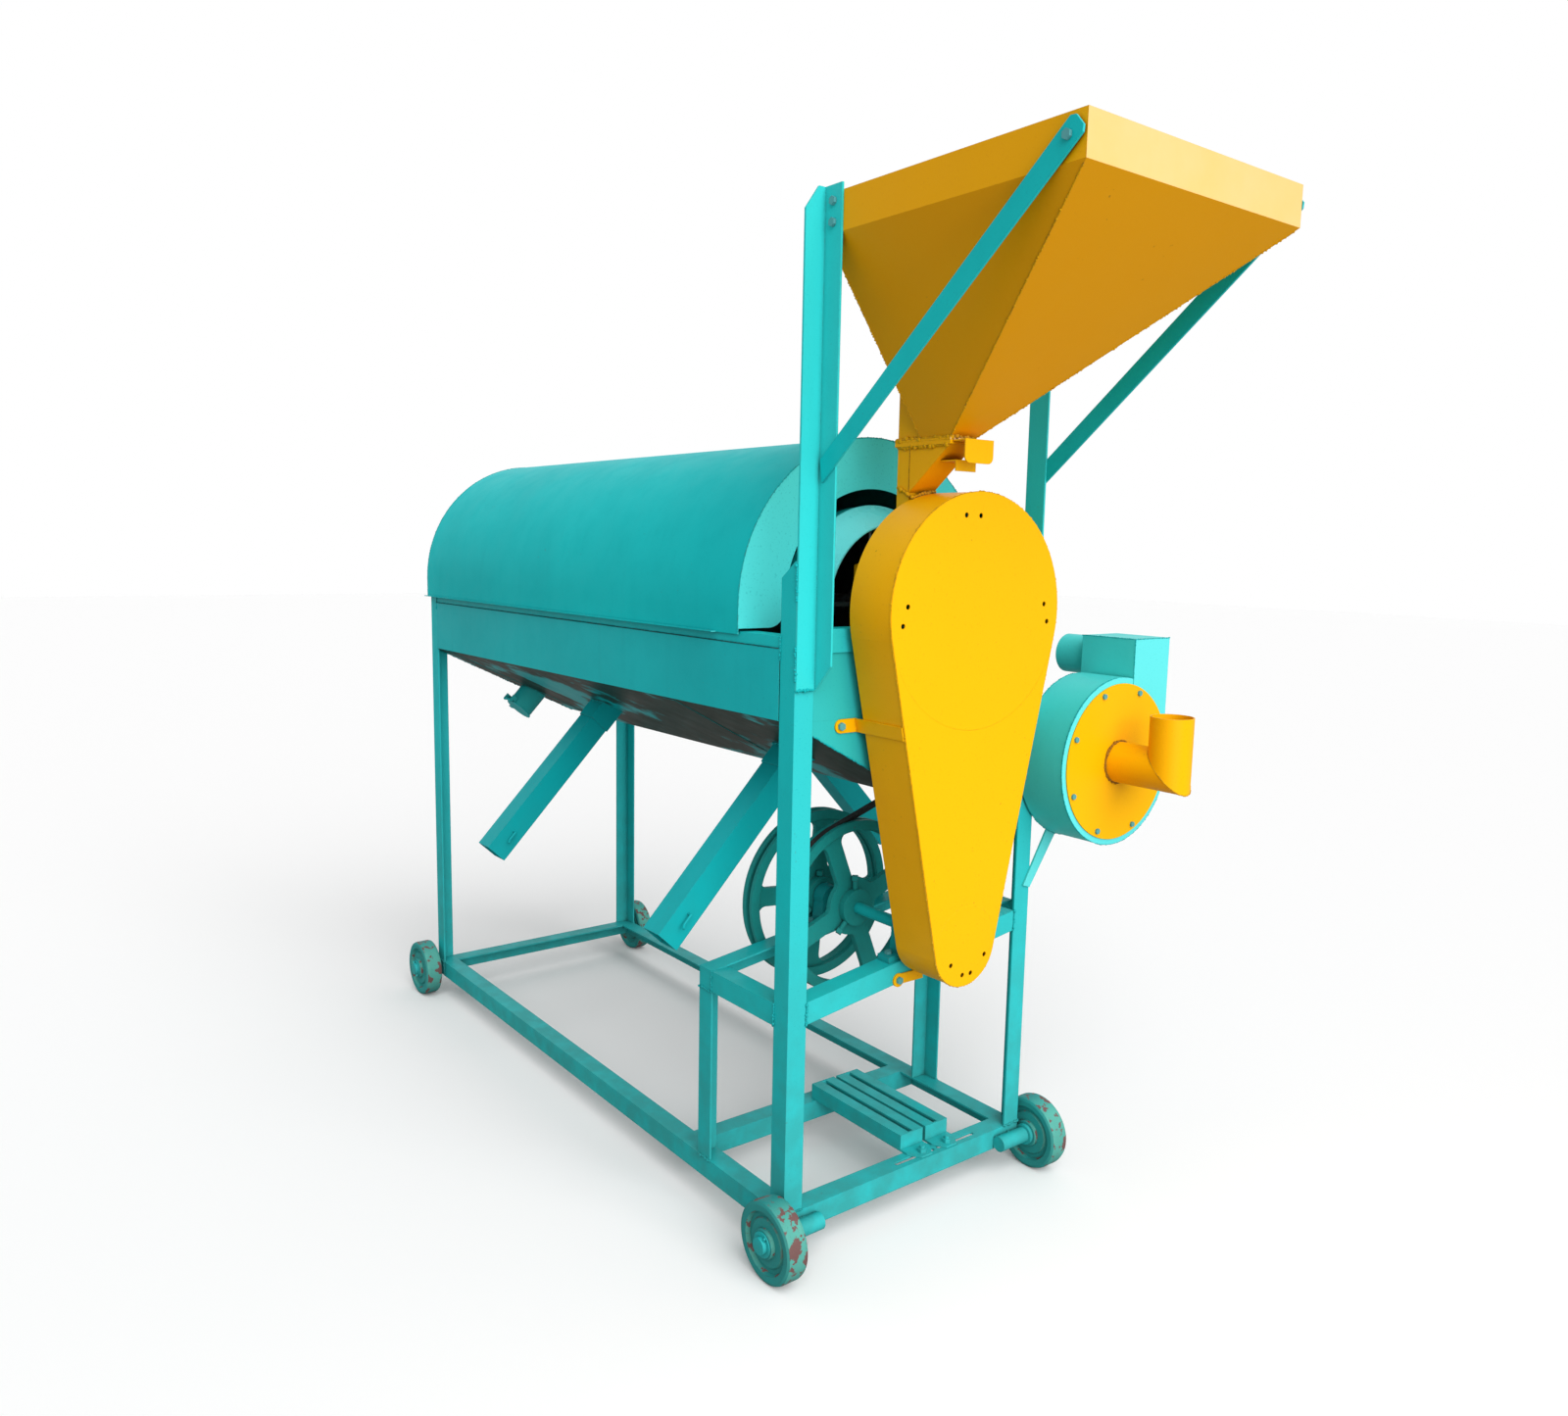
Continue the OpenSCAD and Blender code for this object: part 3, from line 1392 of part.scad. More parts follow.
placed() color(teal) chute(chute_front_x, -1);  // chute_near_front
placed() color(teal) chute(chute_rear_x, -1);  // chute_near_rear
placed() color(teal) chute(chute_far_x, 1);  // chute_far
placed() color(teal) drain_flap();
placed() color(teal) hood();
placed() color(teal) blower_housing();
placed() color(yellow) blower_cover();
placed() color(steel) blower_rotor();
placed() color(teal) motor_rail(slide_a_y);  // motor_rail_a
placed() color(teal) motor_rail(slide_b_y);  // motor_rail_b
placed() color(steel) fasteners();
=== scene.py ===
"""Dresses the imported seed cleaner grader: enamel, castings, steel, weld seams and small fittings."""
import json
import logging
import math
from dataclasses import dataclass
from enum import Enum
from typing import Iterable, Optional, Sequence

import bmesh
import bpy
from mathutils import Matrix, Vector

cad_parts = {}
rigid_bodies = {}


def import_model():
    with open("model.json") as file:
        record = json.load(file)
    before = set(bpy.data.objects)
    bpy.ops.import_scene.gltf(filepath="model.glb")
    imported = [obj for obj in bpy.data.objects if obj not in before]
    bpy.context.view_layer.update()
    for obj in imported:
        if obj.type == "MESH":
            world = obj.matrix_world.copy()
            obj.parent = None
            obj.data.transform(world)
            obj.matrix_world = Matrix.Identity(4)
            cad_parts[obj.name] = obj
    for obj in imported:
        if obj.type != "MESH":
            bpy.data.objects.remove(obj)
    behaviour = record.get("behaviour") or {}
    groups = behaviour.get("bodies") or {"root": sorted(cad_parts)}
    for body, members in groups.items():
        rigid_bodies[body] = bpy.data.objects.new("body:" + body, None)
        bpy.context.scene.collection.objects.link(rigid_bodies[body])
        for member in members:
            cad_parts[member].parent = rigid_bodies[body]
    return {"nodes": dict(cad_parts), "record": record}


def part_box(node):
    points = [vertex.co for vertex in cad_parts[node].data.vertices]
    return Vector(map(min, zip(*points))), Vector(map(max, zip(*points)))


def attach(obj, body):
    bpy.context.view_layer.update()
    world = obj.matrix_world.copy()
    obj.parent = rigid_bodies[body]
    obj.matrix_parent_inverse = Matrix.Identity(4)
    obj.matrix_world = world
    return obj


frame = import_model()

log = logging.getLogger("grader")
MM = 0.001
IMAGE_WIDTH = 1600.0
SENSOR_WIDTH = 36.0
DRUM_Z = 1437.5
Point = tuple[float, float, float]
Tree = bpy.types.NodeTree
Socket = bpy.types.NodeSocket


class Body(Enum):
    """The rigid bodies that the dressing rides on."""

    FRAME = "frame"
    LAY = "lay"
    COVER = "cover"


def machine_origin() -> Vector:
    """The plan centre of the four legs at floor level, in the row frame, in metres."""
    low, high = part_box("base_front")
    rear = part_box("base_rear")[0]
    return Vector(((rear.x + high.x) / 2, (low.y + high.y) / 2, 0.0))


ORIGIN = machine_origin()


def at(x: float, y: float, z: float) -> Vector:
    """A point given in millimetres from the legs' centre, as a place in the row frame."""
    return ORIGIN + Vector((x, y, z)) * MM


def linear(code: str) -> tuple[float, float, float, float]:
    """Turns an sRGB hex colour into linear light.

    Args:
        code: six hex digits after a hash.

    Returns:
        Red, green, blue and an alpha of 1.
    """
    parts = [int(code[i:i + 2], 16) / 255 for i in (1, 3, 5)]
    red, green, blue = (c / 12.92 if c <= 0.04045 else ((c + 0.055) / 1.055) ** 2.4 for c in parts)
    return (red, green, blue, 1.0)


# nodes


def add(tree: Tree, kind: str, links: Optional[dict] = None, **settings) -> bpy.types.Node:
    """Adds one node.

    Args:
        tree: the node tree.
        kind: the node's type name.
        links: input name or index to a value, or to the socket that feeds it.
        settings: the node's own properties.

    Returns:
        The new node.
    """
    node = tree.nodes.new(kind)
    for name, value in settings.items():
        setattr(node, name, value)
    for key, value in (links or {}).items():
        socket = node.inputs[key]
        if isinstance(value, Socket):
            tree.links.new(value, socket)
        else:
            socket.default_value = value
    return node


def ramp(tree: Tree, fac: Socket, low: float, high: float) -> Socket:
    """A value that rises from 0 to 1 as fac goes from low to high."""
    node = add(tree, "ShaderNodeMapRange", {"Value": fac, "From Min": low, "From Max": high})
    return node.outputs["Result"]


def noise(tree: Tree, place: Socket, size_mm: float, detail: float = 3.0,
          stretch: Sequence[float] = (1, 1, 1)) -> Socket:
    """Noise whose blotches are about size_mm across.

    Args:
        tree: the node tree.
        place: object coordinates in metres.
        size_mm: the size of a blotch.
        detail: octaves of finer noise.
        stretch: scale along each axis; a small value draws the blotches out.

    Returns:
        A socket between 0 and 1.
    """
    vector = add(tree, "ShaderNodeMapping", {"Vector": place, "Scale": tuple(stretch)}).outputs["Vector"]
    node = add(tree, "ShaderNodeTexNoise",
               {"Vector": vector, "Scale": 1000.0 / size_mm, "Detail": detail, "Roughness": 0.55})
    return node.outputs["Fac"]


def blend(tree: Tree, fac, first, second, mode: str = "MIX") -> Socket:
    """Mixes two colours.

    Args:
        tree: the node tree.
        fac: a number or a socket.
        first: the colour at 0.
        second: the colour at 1.
        mode: the mix's blend type.

    Returns:
        The mixed colour's socket.
    """
    node = add(tree, "ShaderNodeMix", {"Factor": fac, 6: first, 7: second}, data_type="RGBA",
               blend_type=mode)
    return node.outputs[2]


def arith(tree: Tree, operation: str, first, second=0.0) -> Socket:
    """One arithmetic step on numbers or sockets."""
    return add(tree, "ShaderNodeMath", {0: first, 1: second}, operation=operation).outputs[0]


def multiply(tree: Tree, first, second) -> Socket:
    """The product of two values."""
    return arith(tree, "MULTIPLY", first, second)


def span(tree: Tree, value: Socket, low: float, high: float) -> Socket:
    """Maps a value between 0 and 1 onto low to high."""
    node = add(tree, "ShaderNodeMapRange", {"Value": value, "To Min": low, "To Max": high})
    return node.outputs["Result"]


def world_normal(tree: Tree) -> Socket:
    """The direction that the surface faces."""
    return add(tree, "ShaderNodeNewGeometry").outputs["Normal"]


def part_of(tree: Tree, vector: Socket, axis: str) -> Socket:
    """One coordinate of a vector."""
    return add(tree, "ShaderNodeSeparateXYZ", {0: vector}).outputs[axis]


def worn_edges(tree: Tree, radius_mm: float) -> tuple[Socket, Socket]:
    """Finds the edges of a piece with a small round-over.

    Args:
        tree: the node tree.
        radius_mm: the radius of the round-over.

    Returns:
        The rounded normal, and a mask that is 1 on an edge.
    """
    soft = add(tree, "ShaderNodeBevel", {"Radius": radius_mm * MM}, samples=4).outputs["Normal"]
    sharp = world_normal(tree)
    dot = add(tree, "ShaderNodeVectorMath", {0: soft, 1: sharp}, operation="DOT_PRODUCT").outputs["Value"]
    return soft, ramp(tree, dot, 0.995, 0.90)


# finishes


@dataclass(frozen=True)
class Finish:
    """What every finish has: its name and the shader it ends in."""

    name: str

    def start(self) -> tuple[bpy.types.Material, Tree, bpy.types.Node, Socket]:
        """An empty material with its Principled shader and its object coordinates."""
        material = bpy.data.materials.new(self.name)
        material.use_nodes = True
        tree = material.node_tree
        tree.nodes.clear()
        shader = add(tree, "ShaderNodeBsdfPrincipled")
        out = add(tree, "ShaderNodeOutputMaterial")
        tree.links.new(shader.outputs[0], out.inputs["Surface"])
        place = add(tree, "ShaderNodeTexCoord").outputs["Object"]
        return material, tree, shader, place

    def make(self) -> bpy.types.Material:
        """Builds the material."""
        raise NotImplementedError


@dataclass(frozen=True)
class SprayedEnamel(Finish):
    """Alkyd enamel sprayed on mild steel: glossy, uneven, with runs and chips, darker in patches towards the
    bottom.

    The eye sees a soft sheen with orange peel, darker streaks down upright faces, and grey
    primer where an edge was knocked. The colour also carries painted light: a lighter copy on the
    faces turned to the light, and painted shade, with some soiling, in the crevices.
    """

    colour: str = "#14c4c6"
    shade: str = "#0da6ab"
    chip: str = "#56605f"
    gloss: float = 0.38
    chips: float = 0.5
    # strength of the patchy darkening towards the bottom
    bottom_darkening: float = 0.55
    # colour of the painted shade, with some soiling, in crevices
    crevice_shade_and_dirt_colour: str = "#1b4a48"
    peel_mm: float = 3.0
    peel: float = 0.06
    edge_mm: float = 1.5
    sheen: float = 0.09
    crevice_mm: float = 22.0
    crevice: float = 0.75
    # the colour that the enamel darkens towards near the bottom
    dust: str = "#3d7b74"
    bottom_darkening_top: float = 0.9
    patch_mm: float = 520.0
    cloud_mm: float = 60.0
    run_mm: float = 28.0
    speck_mm: float = 4.5
    spot_mm: float = 9.0
    dent_mm: float = 150.0
    undertone: Optional[str] = None
    worn_mm: float = 24.0
    # lit: a lighter copy of the colour, painted light on the faces turned towards lit_towards
    lit: Optional[str] = None
    lit_towards: Point = (1.0, 0.0, 0.3)
    lit_from: float = 0.2
    lit_full: float = 0.9

    def make(self) -> bpy.types.Material:
        """Builds the enamel."""
        material, tree, shader, place = self.start()
        patches = noise(tree, place, self.patch_mm, 2)
        cloud = noise(tree, place, self.cloud_mm, 4)
        runs = noise(tree, place, self.run_mm, 3, (1, 1, 0.07))
        grain = noise(tree, place, self.peel_mm, 1)
        soft, edge = worn_edges(tree, self.edge_mm)
        wide = multiply(tree, ramp(tree, patches, 0.35, 0.7), 0.45)
        colour = blend(tree, wide, linear(self.colour), linear(self.shade))
        colour = blend(tree, multiply(tree, ramp(tree, cloud, 0.45, 0.75), 0.16), colour, linear(self.shade))
        colour = blend(tree, multiply(tree, ramp(tree, runs, 0.56, 0.74), 0.14), colour, linear(self.shade))
        normal = world_normal(tree)
        # Painted light: faces turned towards lit_towards are mixed towards the lighter lit colour.
        if self.lit:
            towards = add(tree, "ShaderNodeVectorMath", {0: normal, 1: self.lit_towards},
                          operation="DOT_PRODUCT").outputs["Value"]
            painted_light_mask = ramp(tree, towards, self.lit_from, self.lit_full)
            colour = blend(tree, multiply(tree, painted_light_mask, 0.85), colour, linear(self.lit))
        speck = multiply(tree, ramp(tree, noise(tree, place, self.speck_mm, 2), 0.62, 0.72), 0.35)
        colour = blend(tree, speck, colour, linear(self.shade))
        # Painted shade, with some soiling: crevices found by ambient occlusion are darkened towards a dark
        # crevice colour.
        hollow = add(tree, "ShaderNodeAmbientOcclusion", {"Distance": self.crevice_mm * MM}, samples=6)
        crevice_shade_and_dirt = multiply(tree, ramp(tree, hollow.outputs["AO"], 0.62, 0.18), self.crevice)
        colour = blend(tree, crevice_shade_and_dirt, colour, linear(self.crevice_shade_and_dirt_colour))
        # Darker towards the bottom, in patches, below a given height.
        height = part_of(tree, place, "Z")
        low = multiply(tree, ramp(tree, height, self.bottom_darkening_top, 0.0), ramp(tree, cloud, 0.1, 0.6))
        colour = blend(tree, multiply(tree, low, self.bottom_darkening), colour, linear(self.dust))
        spots = ramp(tree, noise(tree, place, self.spot_mm, 3), 0.70, 0.73)
        rare = ramp(tree, noise(tree, place, 160, 2), 0.52, 0.62)
        rubbed = multiply(tree, edge, ramp(tree, noise(tree, place, 22, 4), 0.53, 0.60))
        bare = arith(tree, "MAXIMUM", multiply(tree, spots, rare), rubbed)
        bare_fac = multiply(tree, bare, self.chips)
        if self.undertone:
            side = arith(tree, "ABSOLUTE", part_of(tree, normal, "Y"))
            wide = ramp(tree, noise(tree, place, self.worn_mm, 7), 0.535, 0.565)
            worn = multiply(tree, wide, ramp(tree, side, 0.75, 0.35))
            colour = blend(tree, worn, colour, linear(self.undertone))
        colour = blend(tree, bare_fac, colour, linear(self.chip))
        tree.links.new(colour, shader.inputs["Base Color"])
        rough = span(tree, cloud, self.gloss - 0.06, self.gloss + 0.14)
        rough = arith(tree, "ADD", rough, multiply(tree, bare_fac, 0.3))
        tree.links.new(rough, shader.inputs["Roughness"])
        bump = add(tree, "ShaderNodeBump", {"Strength": self.peel * 4, "Distance": 0.0006, "Height": grain,
                                            "Normal": soft}).outputs["Normal"]
        dents = add(tree, "ShaderNodeBump", {"Strength": 0.35, "Distance": 0.004,
                                             "Height": noise(tree, place, self.dent_mm, 1),
                                             "Normal": bump})
        tree.links.new(dents.outputs["Normal"], shader.inputs["Normal"])
        shader.inputs["Specular IOR Level"].default_value = self.sheen
        return material

    @staticmethod
    def repaint(material: bpy.types.Material) -> tuple[Tree, Socket, Socket]:
        """What a variant needs to paint over the enamel: tree, object coordinates, colour input."""
        tree = material.node_tree
        shader = next(n for n in tree.nodes if n.type == "BSDF_PRINCIPLED")
        place = next(n for n in tree.nodes if n.type == "TEX_COORD").outputs["Object"]
        return tree, place, shader.inputs["Base Color"]


@dataclass(frozen=True)
class TroughSheet(SprayedEnamel):
    """Thin enamel on the trough: bright on its upright sides, and dark brown underneath, painted shade and
    staining together.
    """

    brown: str = "#262a1e"
    streak: str = "#1f3d37"

    def make(self) -> bpy.types.Material:
        """Builds the enamel, then paints what faces down dark brown: painted shade and staining together."""
        material = super().make()
        tree, place, paint = self.repaint(material)
        # Painted shade and staining: faces turned down are mixed, in patches, towards dark brown.
        down = ramp(tree, part_of(tree, world_normal(tree), "Z"), -0.45, -0.8)
        patchy = ramp(tree, noise(tree, place, 240, 6, (0.8, 1, 1)), 0.40, 0.45)
        streaks = ramp(tree, noise(tree, place, 35, 3, (1, 0.1, 0.1)), 0.4, 0.7)
        brown = blend(tree, multiply(tree, streaks, 0.45), linear(self.brown), linear(self.streak))
        shaded_and_stained = blend(tree, multiply(tree, down, patchy), paint.links[0].from_socket, brown)
        tree.links.new(shaded_and_stained, paint)
        return material


@dataclass(frozen=True)
class HopperSheet(SprayedEnamel):
    """Yellow enamel with a painted reflection: a pale sheen on its upright front rim."""

    pale: str = "#f6cd90"

    def make(self) -> bpy.types.Material:
        """Builds the enamel, then paints a pale sheen, a painted reflection, on the faces that look straight
        ahead.
        """
        material = super().make()
        tree, place, paint = self.repaint(material)
        # Painted reflection: faces that look straight ahead are mixed, unevenly, towards the pale colour.
        ahead = ramp(tree, part_of(tree, world_normal(tree), "X"), 0.85, 0.95)
        uneven = span(tree, noise(tree, place, 130, 3), 0.55, 1.0)
        with_painted_sheen = blend(tree, multiply(tree, ahead, uneven), paint.links[0].from_socket, linear(self.pale))
        tree.links.new(with_painted_sheen, paint)
        return material


@dataclass(frozen=True)
class PaintedCasting(SprayedEnamel):
    """Enamel brushed over grey cast iron: the sand-cast skin shows as a pebbled surface."""

    gloss: float = 0.45
    peel_mm: float = 5.0
    peel: float = 0.22
    chips: float = 0.6
    edge_mm: float = 2.5


@dataclass(frozen=True)
class TurnedSteel(Finish):
    """Bright mild steel turned in a lathe: fine rings across the shaft, a brown film of oil."""

    colour: str = "#8d9396"
    film: str = "#5d5248"
    ring_mm: float = 1.4
    rough: float = 0.34

    def make(self) -> bpy.types.Material:
        """Builds the steel."""
        material, tree, shader, place = self.start()
        film = ramp(tree, noise(tree, place, 45, 4), 0.48, 0.68)
        colour = blend(tree, film, linear(self.colour), linear(self.film))
        tree.links.new(colour, shader.inputs["Base Color"])
        shader.inputs["Metallic"].default_value = 0.9
        rings = noise(tree, place, self.ring_mm, 1, (1, 0.02, 0.02))
        tree.links.new(span(tree, film, self.rough, self.rough + 0.2), shader.inputs["Roughness"])
        soft, _ = worn_edges(tree, 0.8)
        bump = add(tree, "ShaderNodeBump",
                   {"Strength": 0.2, "Distance": 0.0003, "Height": rings, "Normal": soft})
        tree.links.new(bump.outputs["Normal"], shader.inputs["Normal"])
        return material


@dataclass(frozen=True)
class PerforatedSheet(Finish):
    """Galvanised screen sheet: round holes in rows, drawn as dark dots on dull zinc."""

    colour: str = "#8b9290"
    dull: str = "#6d7473"
    hole: str = "#0d0f0f"
    pitch_mm: float = 9.0
    hole_mm: float = 4.6
    radius_mm: float = 217.0

    def make(self) -> bpy.types.Material:
        """Builds the sheet; the pattern runs round the drum's axis."""
        material, tree, shader, place = self.start()
        axis = at(0, 0, DRUM_Z)
        y = arith(tree, "SUBTRACT", part_of(tree, place, "Y"), axis.y)
        z = arith(tree, "SUBTRACT", part_of(tree, place, "Z"), axis.z)
        angle = arith(tree, "ARCTAN2", y, z)
        along = multiply(tree, part_of(tree, place, "X"), 1000.0 / self.pitch_mm)
        count = round(2 * math.pi * self.radius_mm / self.pitch_mm)
        around = multiply(tree, angle, count / (2 * math.pi))
        spots = []
        for shift in (0.0, 0.5):
            cells = []
            for value in (along, around):
                part = arith(tree, "FRACT", arith(tree, "ADD", value, shift + 100.0))
                cells.append(arith(tree, "SUBTRACT", part, 0.5))
            pair = add(tree, "ShaderNodeCombineXYZ", {0: cells[0], 1: cells[1]}).outputs[0]
            spots.append(add(tree, "ShaderNodeVectorMath", {0: pair}, operation="LENGTH").outputs["Value"])
        near = arith(tree, "MINIMUM", spots[0], spots[1])
        edge = self.hole_mm / self.pitch_mm / 2
        hole = ramp(tree, near, edge + 0.03, edge - 0.03)
        spangle = ramp(tree, noise(tree, place, 25, 3), 0.4, 0.7)
        zinc = blend(tree, spangle, linear(self.colour), linear(self.dull))
        tree.links.new(blend(tree, hole, zinc, linear(self.hole)), shader.inputs["Base Color"])
        metal = arith(tree, "MAXIMUM", arith(tree, "SUBTRACT", 0.8, hole), 0.0)
        tree.links.new(metal, shader.inputs["Metallic"])
        shader.inputs["Roughness"].default_value = 0.5
        return material


@dataclass(frozen=True)
class BeltRubber(Finish):
    """Wrapped V-belt: black rubber with a woven cover, dusty grey on its flanks."""

    colour: str = "#1b1c1d"
    dust: str = "#4b4a46"
    weave_mm: float = 1.6

    def make(self) -> bpy.types.Material:
        """Builds the rubber."""
        material, tree, shader, place = self.start()
        dust = multiply(tree, ramp(tree, noise(tree, place, 18, 4), 0.5, 0.72), 0.45)
        tree.links.new(blend(tree, dust, linear(self.colour), linear(self.dust)), shader.inputs["Base Color"])
        shader.inputs["Roughness"].default_value = 0.72
        weave = noise(tree, place, self.weave_mm, 1)
        bump = add(tree, "ShaderNodeBump", {"Strength": 0.4, "Distance": 0.0005, "Height": weave})
        tree.links.new(bump.outputs["Normal"], shader.inputs["Normal"])
        return material


class Slot(Enum):
    """The finishes, by the record's slot."""

    TEAL = "teal_paint"
    TROUGH = "trough_paint"
    TEAL_CAST = "teal_casting"
    BEARING = "bearing_casting"
    WHEEL = "wheel_casting"
    YELLOW = "yellow_paint"
    STEEL = "bare_steel"
    SCREEN = "screen_steel"
    BOLT = "fastener_steel"
    BELT = "belt_rubber"


# Painted light and shade: lit is the lemon yellow painted on faces turned up and forward, colour the orange
# yellow painted on faces turned away.
YELLOW = dict(colour="#f4a906", shade="#e39703", chip="#6b4a1c", crevice_shade_and_dirt_colour="#7d4c04", dust="#b98a20",
              chips=0.45, gloss=0.36, bottom_darkening=0.25, lit="#fdbd06", lit_towards=(0.45, 0.0, 0.9),
              lit_from=-0.5, lit_full=0.5)

# Each lit colour below is painted light: a lighter copy of the finish's colour on faces turned towards the
# light.
FINISHES: dict[Slot, Finish] = {
    Slot.TEAL: SprayedEnamel("teal_enamel", lit="#34c6c9"),
    Slot.TROUGH: TroughSheet("trough_enamel", colour="#12bcc0", shade="#0e9da3", lit="#36bab8"),
    Slot.TEAL_CAST: PaintedCasting("teal_cast_iron", colour="#209c98", shade="#187f7c", crevice_shade_and_dirt_colour="#20302e"),
    Slot.BEARING: PaintedCasting("bearing_cast_iron", colour="#14a5a8", shade="#0f8489"),
    Slot.WHEEL: PaintedCasting("wheel_cast_iron", colour="#259b99", shade="#247c7c", undertone="#725452",
                               chip="#4f3534", bottom_darkening=0.3, lit="#62b3a4"),
    Slot.YELLOW: SprayedEnamel("yellow_enamel", **YELLOW),
    Slot.STEEL: TurnedSteel("turned_steel"),
    Slot.SCREEN: PerforatedSheet("perforated_zinc"),
    Slot.BOLT: SprayedEnamel("overpainted_bolts", colour="#5fa9ab", shade="#4a8b90", chip="#7d8383",
                             chips=0.9, peel_mm=1.5, edge_mm=0.8, gloss=0.34),
    Slot.BELT: BeltRubber("wrapped_rubber"),
}


# Painted light: the uprights are painted a lighter teal than the frame.
MAST = SprayedEnamel("mast_enamel", colour="#34d0d0", shade="#20bcbd", lit="#34d0d0")
# Painted shade: the chutes are painted a darker teal than the trough, with no lit colour.
CHUTE = SprayedEnamel("chute_enamel", colour="#0aa9ae", shade="#0a979c")
# Painted light and shade: on the hopper the faces turned away are a darker orange yellow, and the lit yellow
# reaches further round.
HOPPER = YELLOW | dict(colour="#e29c06", lit_from=-0.65)

NODE_FINISHES: dict[str, Finish] = {
    # Painted light: the hood's forward faces, its end plate under the hopper, get a much lighter lit teal.
    "hood": SprayedEnamel("hood_enamel", lit="#60f0f0", lit_from=0.4, sheen=0.03),
    "upright_near": MAST,
    "upright_far": MAST,
    "chute_near_front": CHUTE,
    "chute_near_rear": CHUTE,
    "chute_far": CHUTE,
    # Painted reflection: the cone is a lighter cyan, lighter still on faces turned to the light, for the
    # bright sky it reflects.
    "drum_cone": SprayedEnamel("cone_enamel", colour="#50f0f5", shade="#3fdbe0", lit="#80fbff", gloss=0.25,
                               sheen=0.4),
    # Painted light and highlight: the blower is a lighter teal, lighter still on faces turned to the light.
    "blower_housing": SprayedEnamel("blower_enamel", colour="#4ed9d6", shade="#3cc6c2", lit="#66e4e6"),
    "hopper": HopperSheet("hopper_enamel", **HOPPER),
}


class Palette:
    """Makes each finish once and puts it on the nodes."""

    def __init__(self) -> None:
        """Builds the materials."""
        self.made = {slot: finish.make() for slot, finish in FINISHES.items()}
        self.extra = {
            "yellow_weld": SprayedEnamel("yellow_weld", colour="#e0a808", shade="#b87f06", peel_mm=2.0,
                                         peel=0.3, chips=0.7, chip="#6d4a2a").make(),
            "teal_weld": SprayedEnamel("teal_weld", colour="#12b4b7", shade="#0d8e93", peel_mm=2.0, peel=0.3,
                                       chips=0.6).make(),
            "dark_gap": SprayedEnamel("dark_gap", colour="#0b5a5c", shade="#083f42", peel_mm=2.0).make(),
            "rusty_weld": SprayedEnamel("rusty_weld", colour="#b07a1c", shade="#7c4d1a", peel_mm=2.0,
                                        peel=0.4, chips=0.9, chip="#54301a").make(),
        }

    def dress_nodes(self) -> None:
        """Gives every CAD node the material of its slot, or its own finish where NODE_FINISHES lists it."""
        slots = {part["node"]: part["material_slot"] for part in frame["record"]["subparts"]}
        own = {finish: finish.make() for finish in dict.fromkeys(NODE_FINISHES.values())}
        for name, piece in frame["nodes"].items():
            material = own[NODE_FINISHES[name]] if name in NODE_FINISHES else self.made[Slot(slots[name])]
            if not piece.material_slots:
                piece.data.materials.append(material)
            for holder in piece.material_slots:
                holder.material = material
        log.info("dressed %d nodes", len(frame["nodes"]))


# repeated details, made by Geometry Nodes


@dataclass
class Seam:
    """A weld seam: lines that the bead follows, its width and its paint."""

    name: str
    lines: list[list[Vector]]
    width_mm: float = 6.0
    paint: str = "teal_weld"
    seed: int = 1
    gap: float = 0.0


class NodeGroup:
    """A Geometry Nodes tree with named inputs."""

    def __init__(self, name: str, inputs: dict[str, tuple[str, object]]) -> None:
        """Starts the tree.

        Args:
            name: the tree's name.
            inputs: input name to its socket type and default.
        """
        self.tree = bpy.data.node_groups.new(name, "GeometryNodeTree")
        face = self.tree.interface
        face.new_socket("Geometry", in_out="INPUT", socket_type="NodeSocketGeometry")
        self.ids: dict[str, str] = {}
        for label, (kind, value) in inputs.items():
            socket = face.new_socket(label, in_out="INPUT", socket_type=kind)
            if value is not None:
                socket.default_value = value
            self.ids[label] = socket.identifier
        face.new_socket("Geometry", in_out="OUTPUT", socket_type="NodeSocketGeometry")
        self.start = add(self.tree, "NodeGroupInput")
        self.end = add(self.tree, "NodeGroupOutput")

    def finish(self, geometry: Socket) -> None:
        """Ends the tree in Realize Instances and Set Material."""
        real = add(self.tree, "GeometryNodeRealizeInstances", {0: geometry}).outputs[0]
        material = add(self.tree, "GeometryNodeSetMaterial", {"Geometry": real,
                                                              "Material": self.start.outputs["Material"]})
        self.tree.links.new(material.outputs[0], self.end.inputs[0])

    def bake(self, piece: bpy.types.Object, values: dict[str, object]) -> bpy.types.Object:
        """Runs the tree on a piece and keeps the result as a plain mesh.

        Args:
            piece: an object whose mesh is the tree's input.
            values: input name to value.

        Returns:
            The same object with its new mesh and no modifier.
        """
        modifier = piece.modifiers.new("nodes", "NODES")
        modifier.node_group = self.tree
        for label, value in values.items():
            modifier[self.ids[label]] = value
        evaluated = piece.evaluated_get(bpy.context.evaluated_depsgraph_get())
        mesh = bpy.data.meshes.new_from_object(evaluated)
        piece.modifiers.remove(modifier)
        piece.data = mesh
        return piece


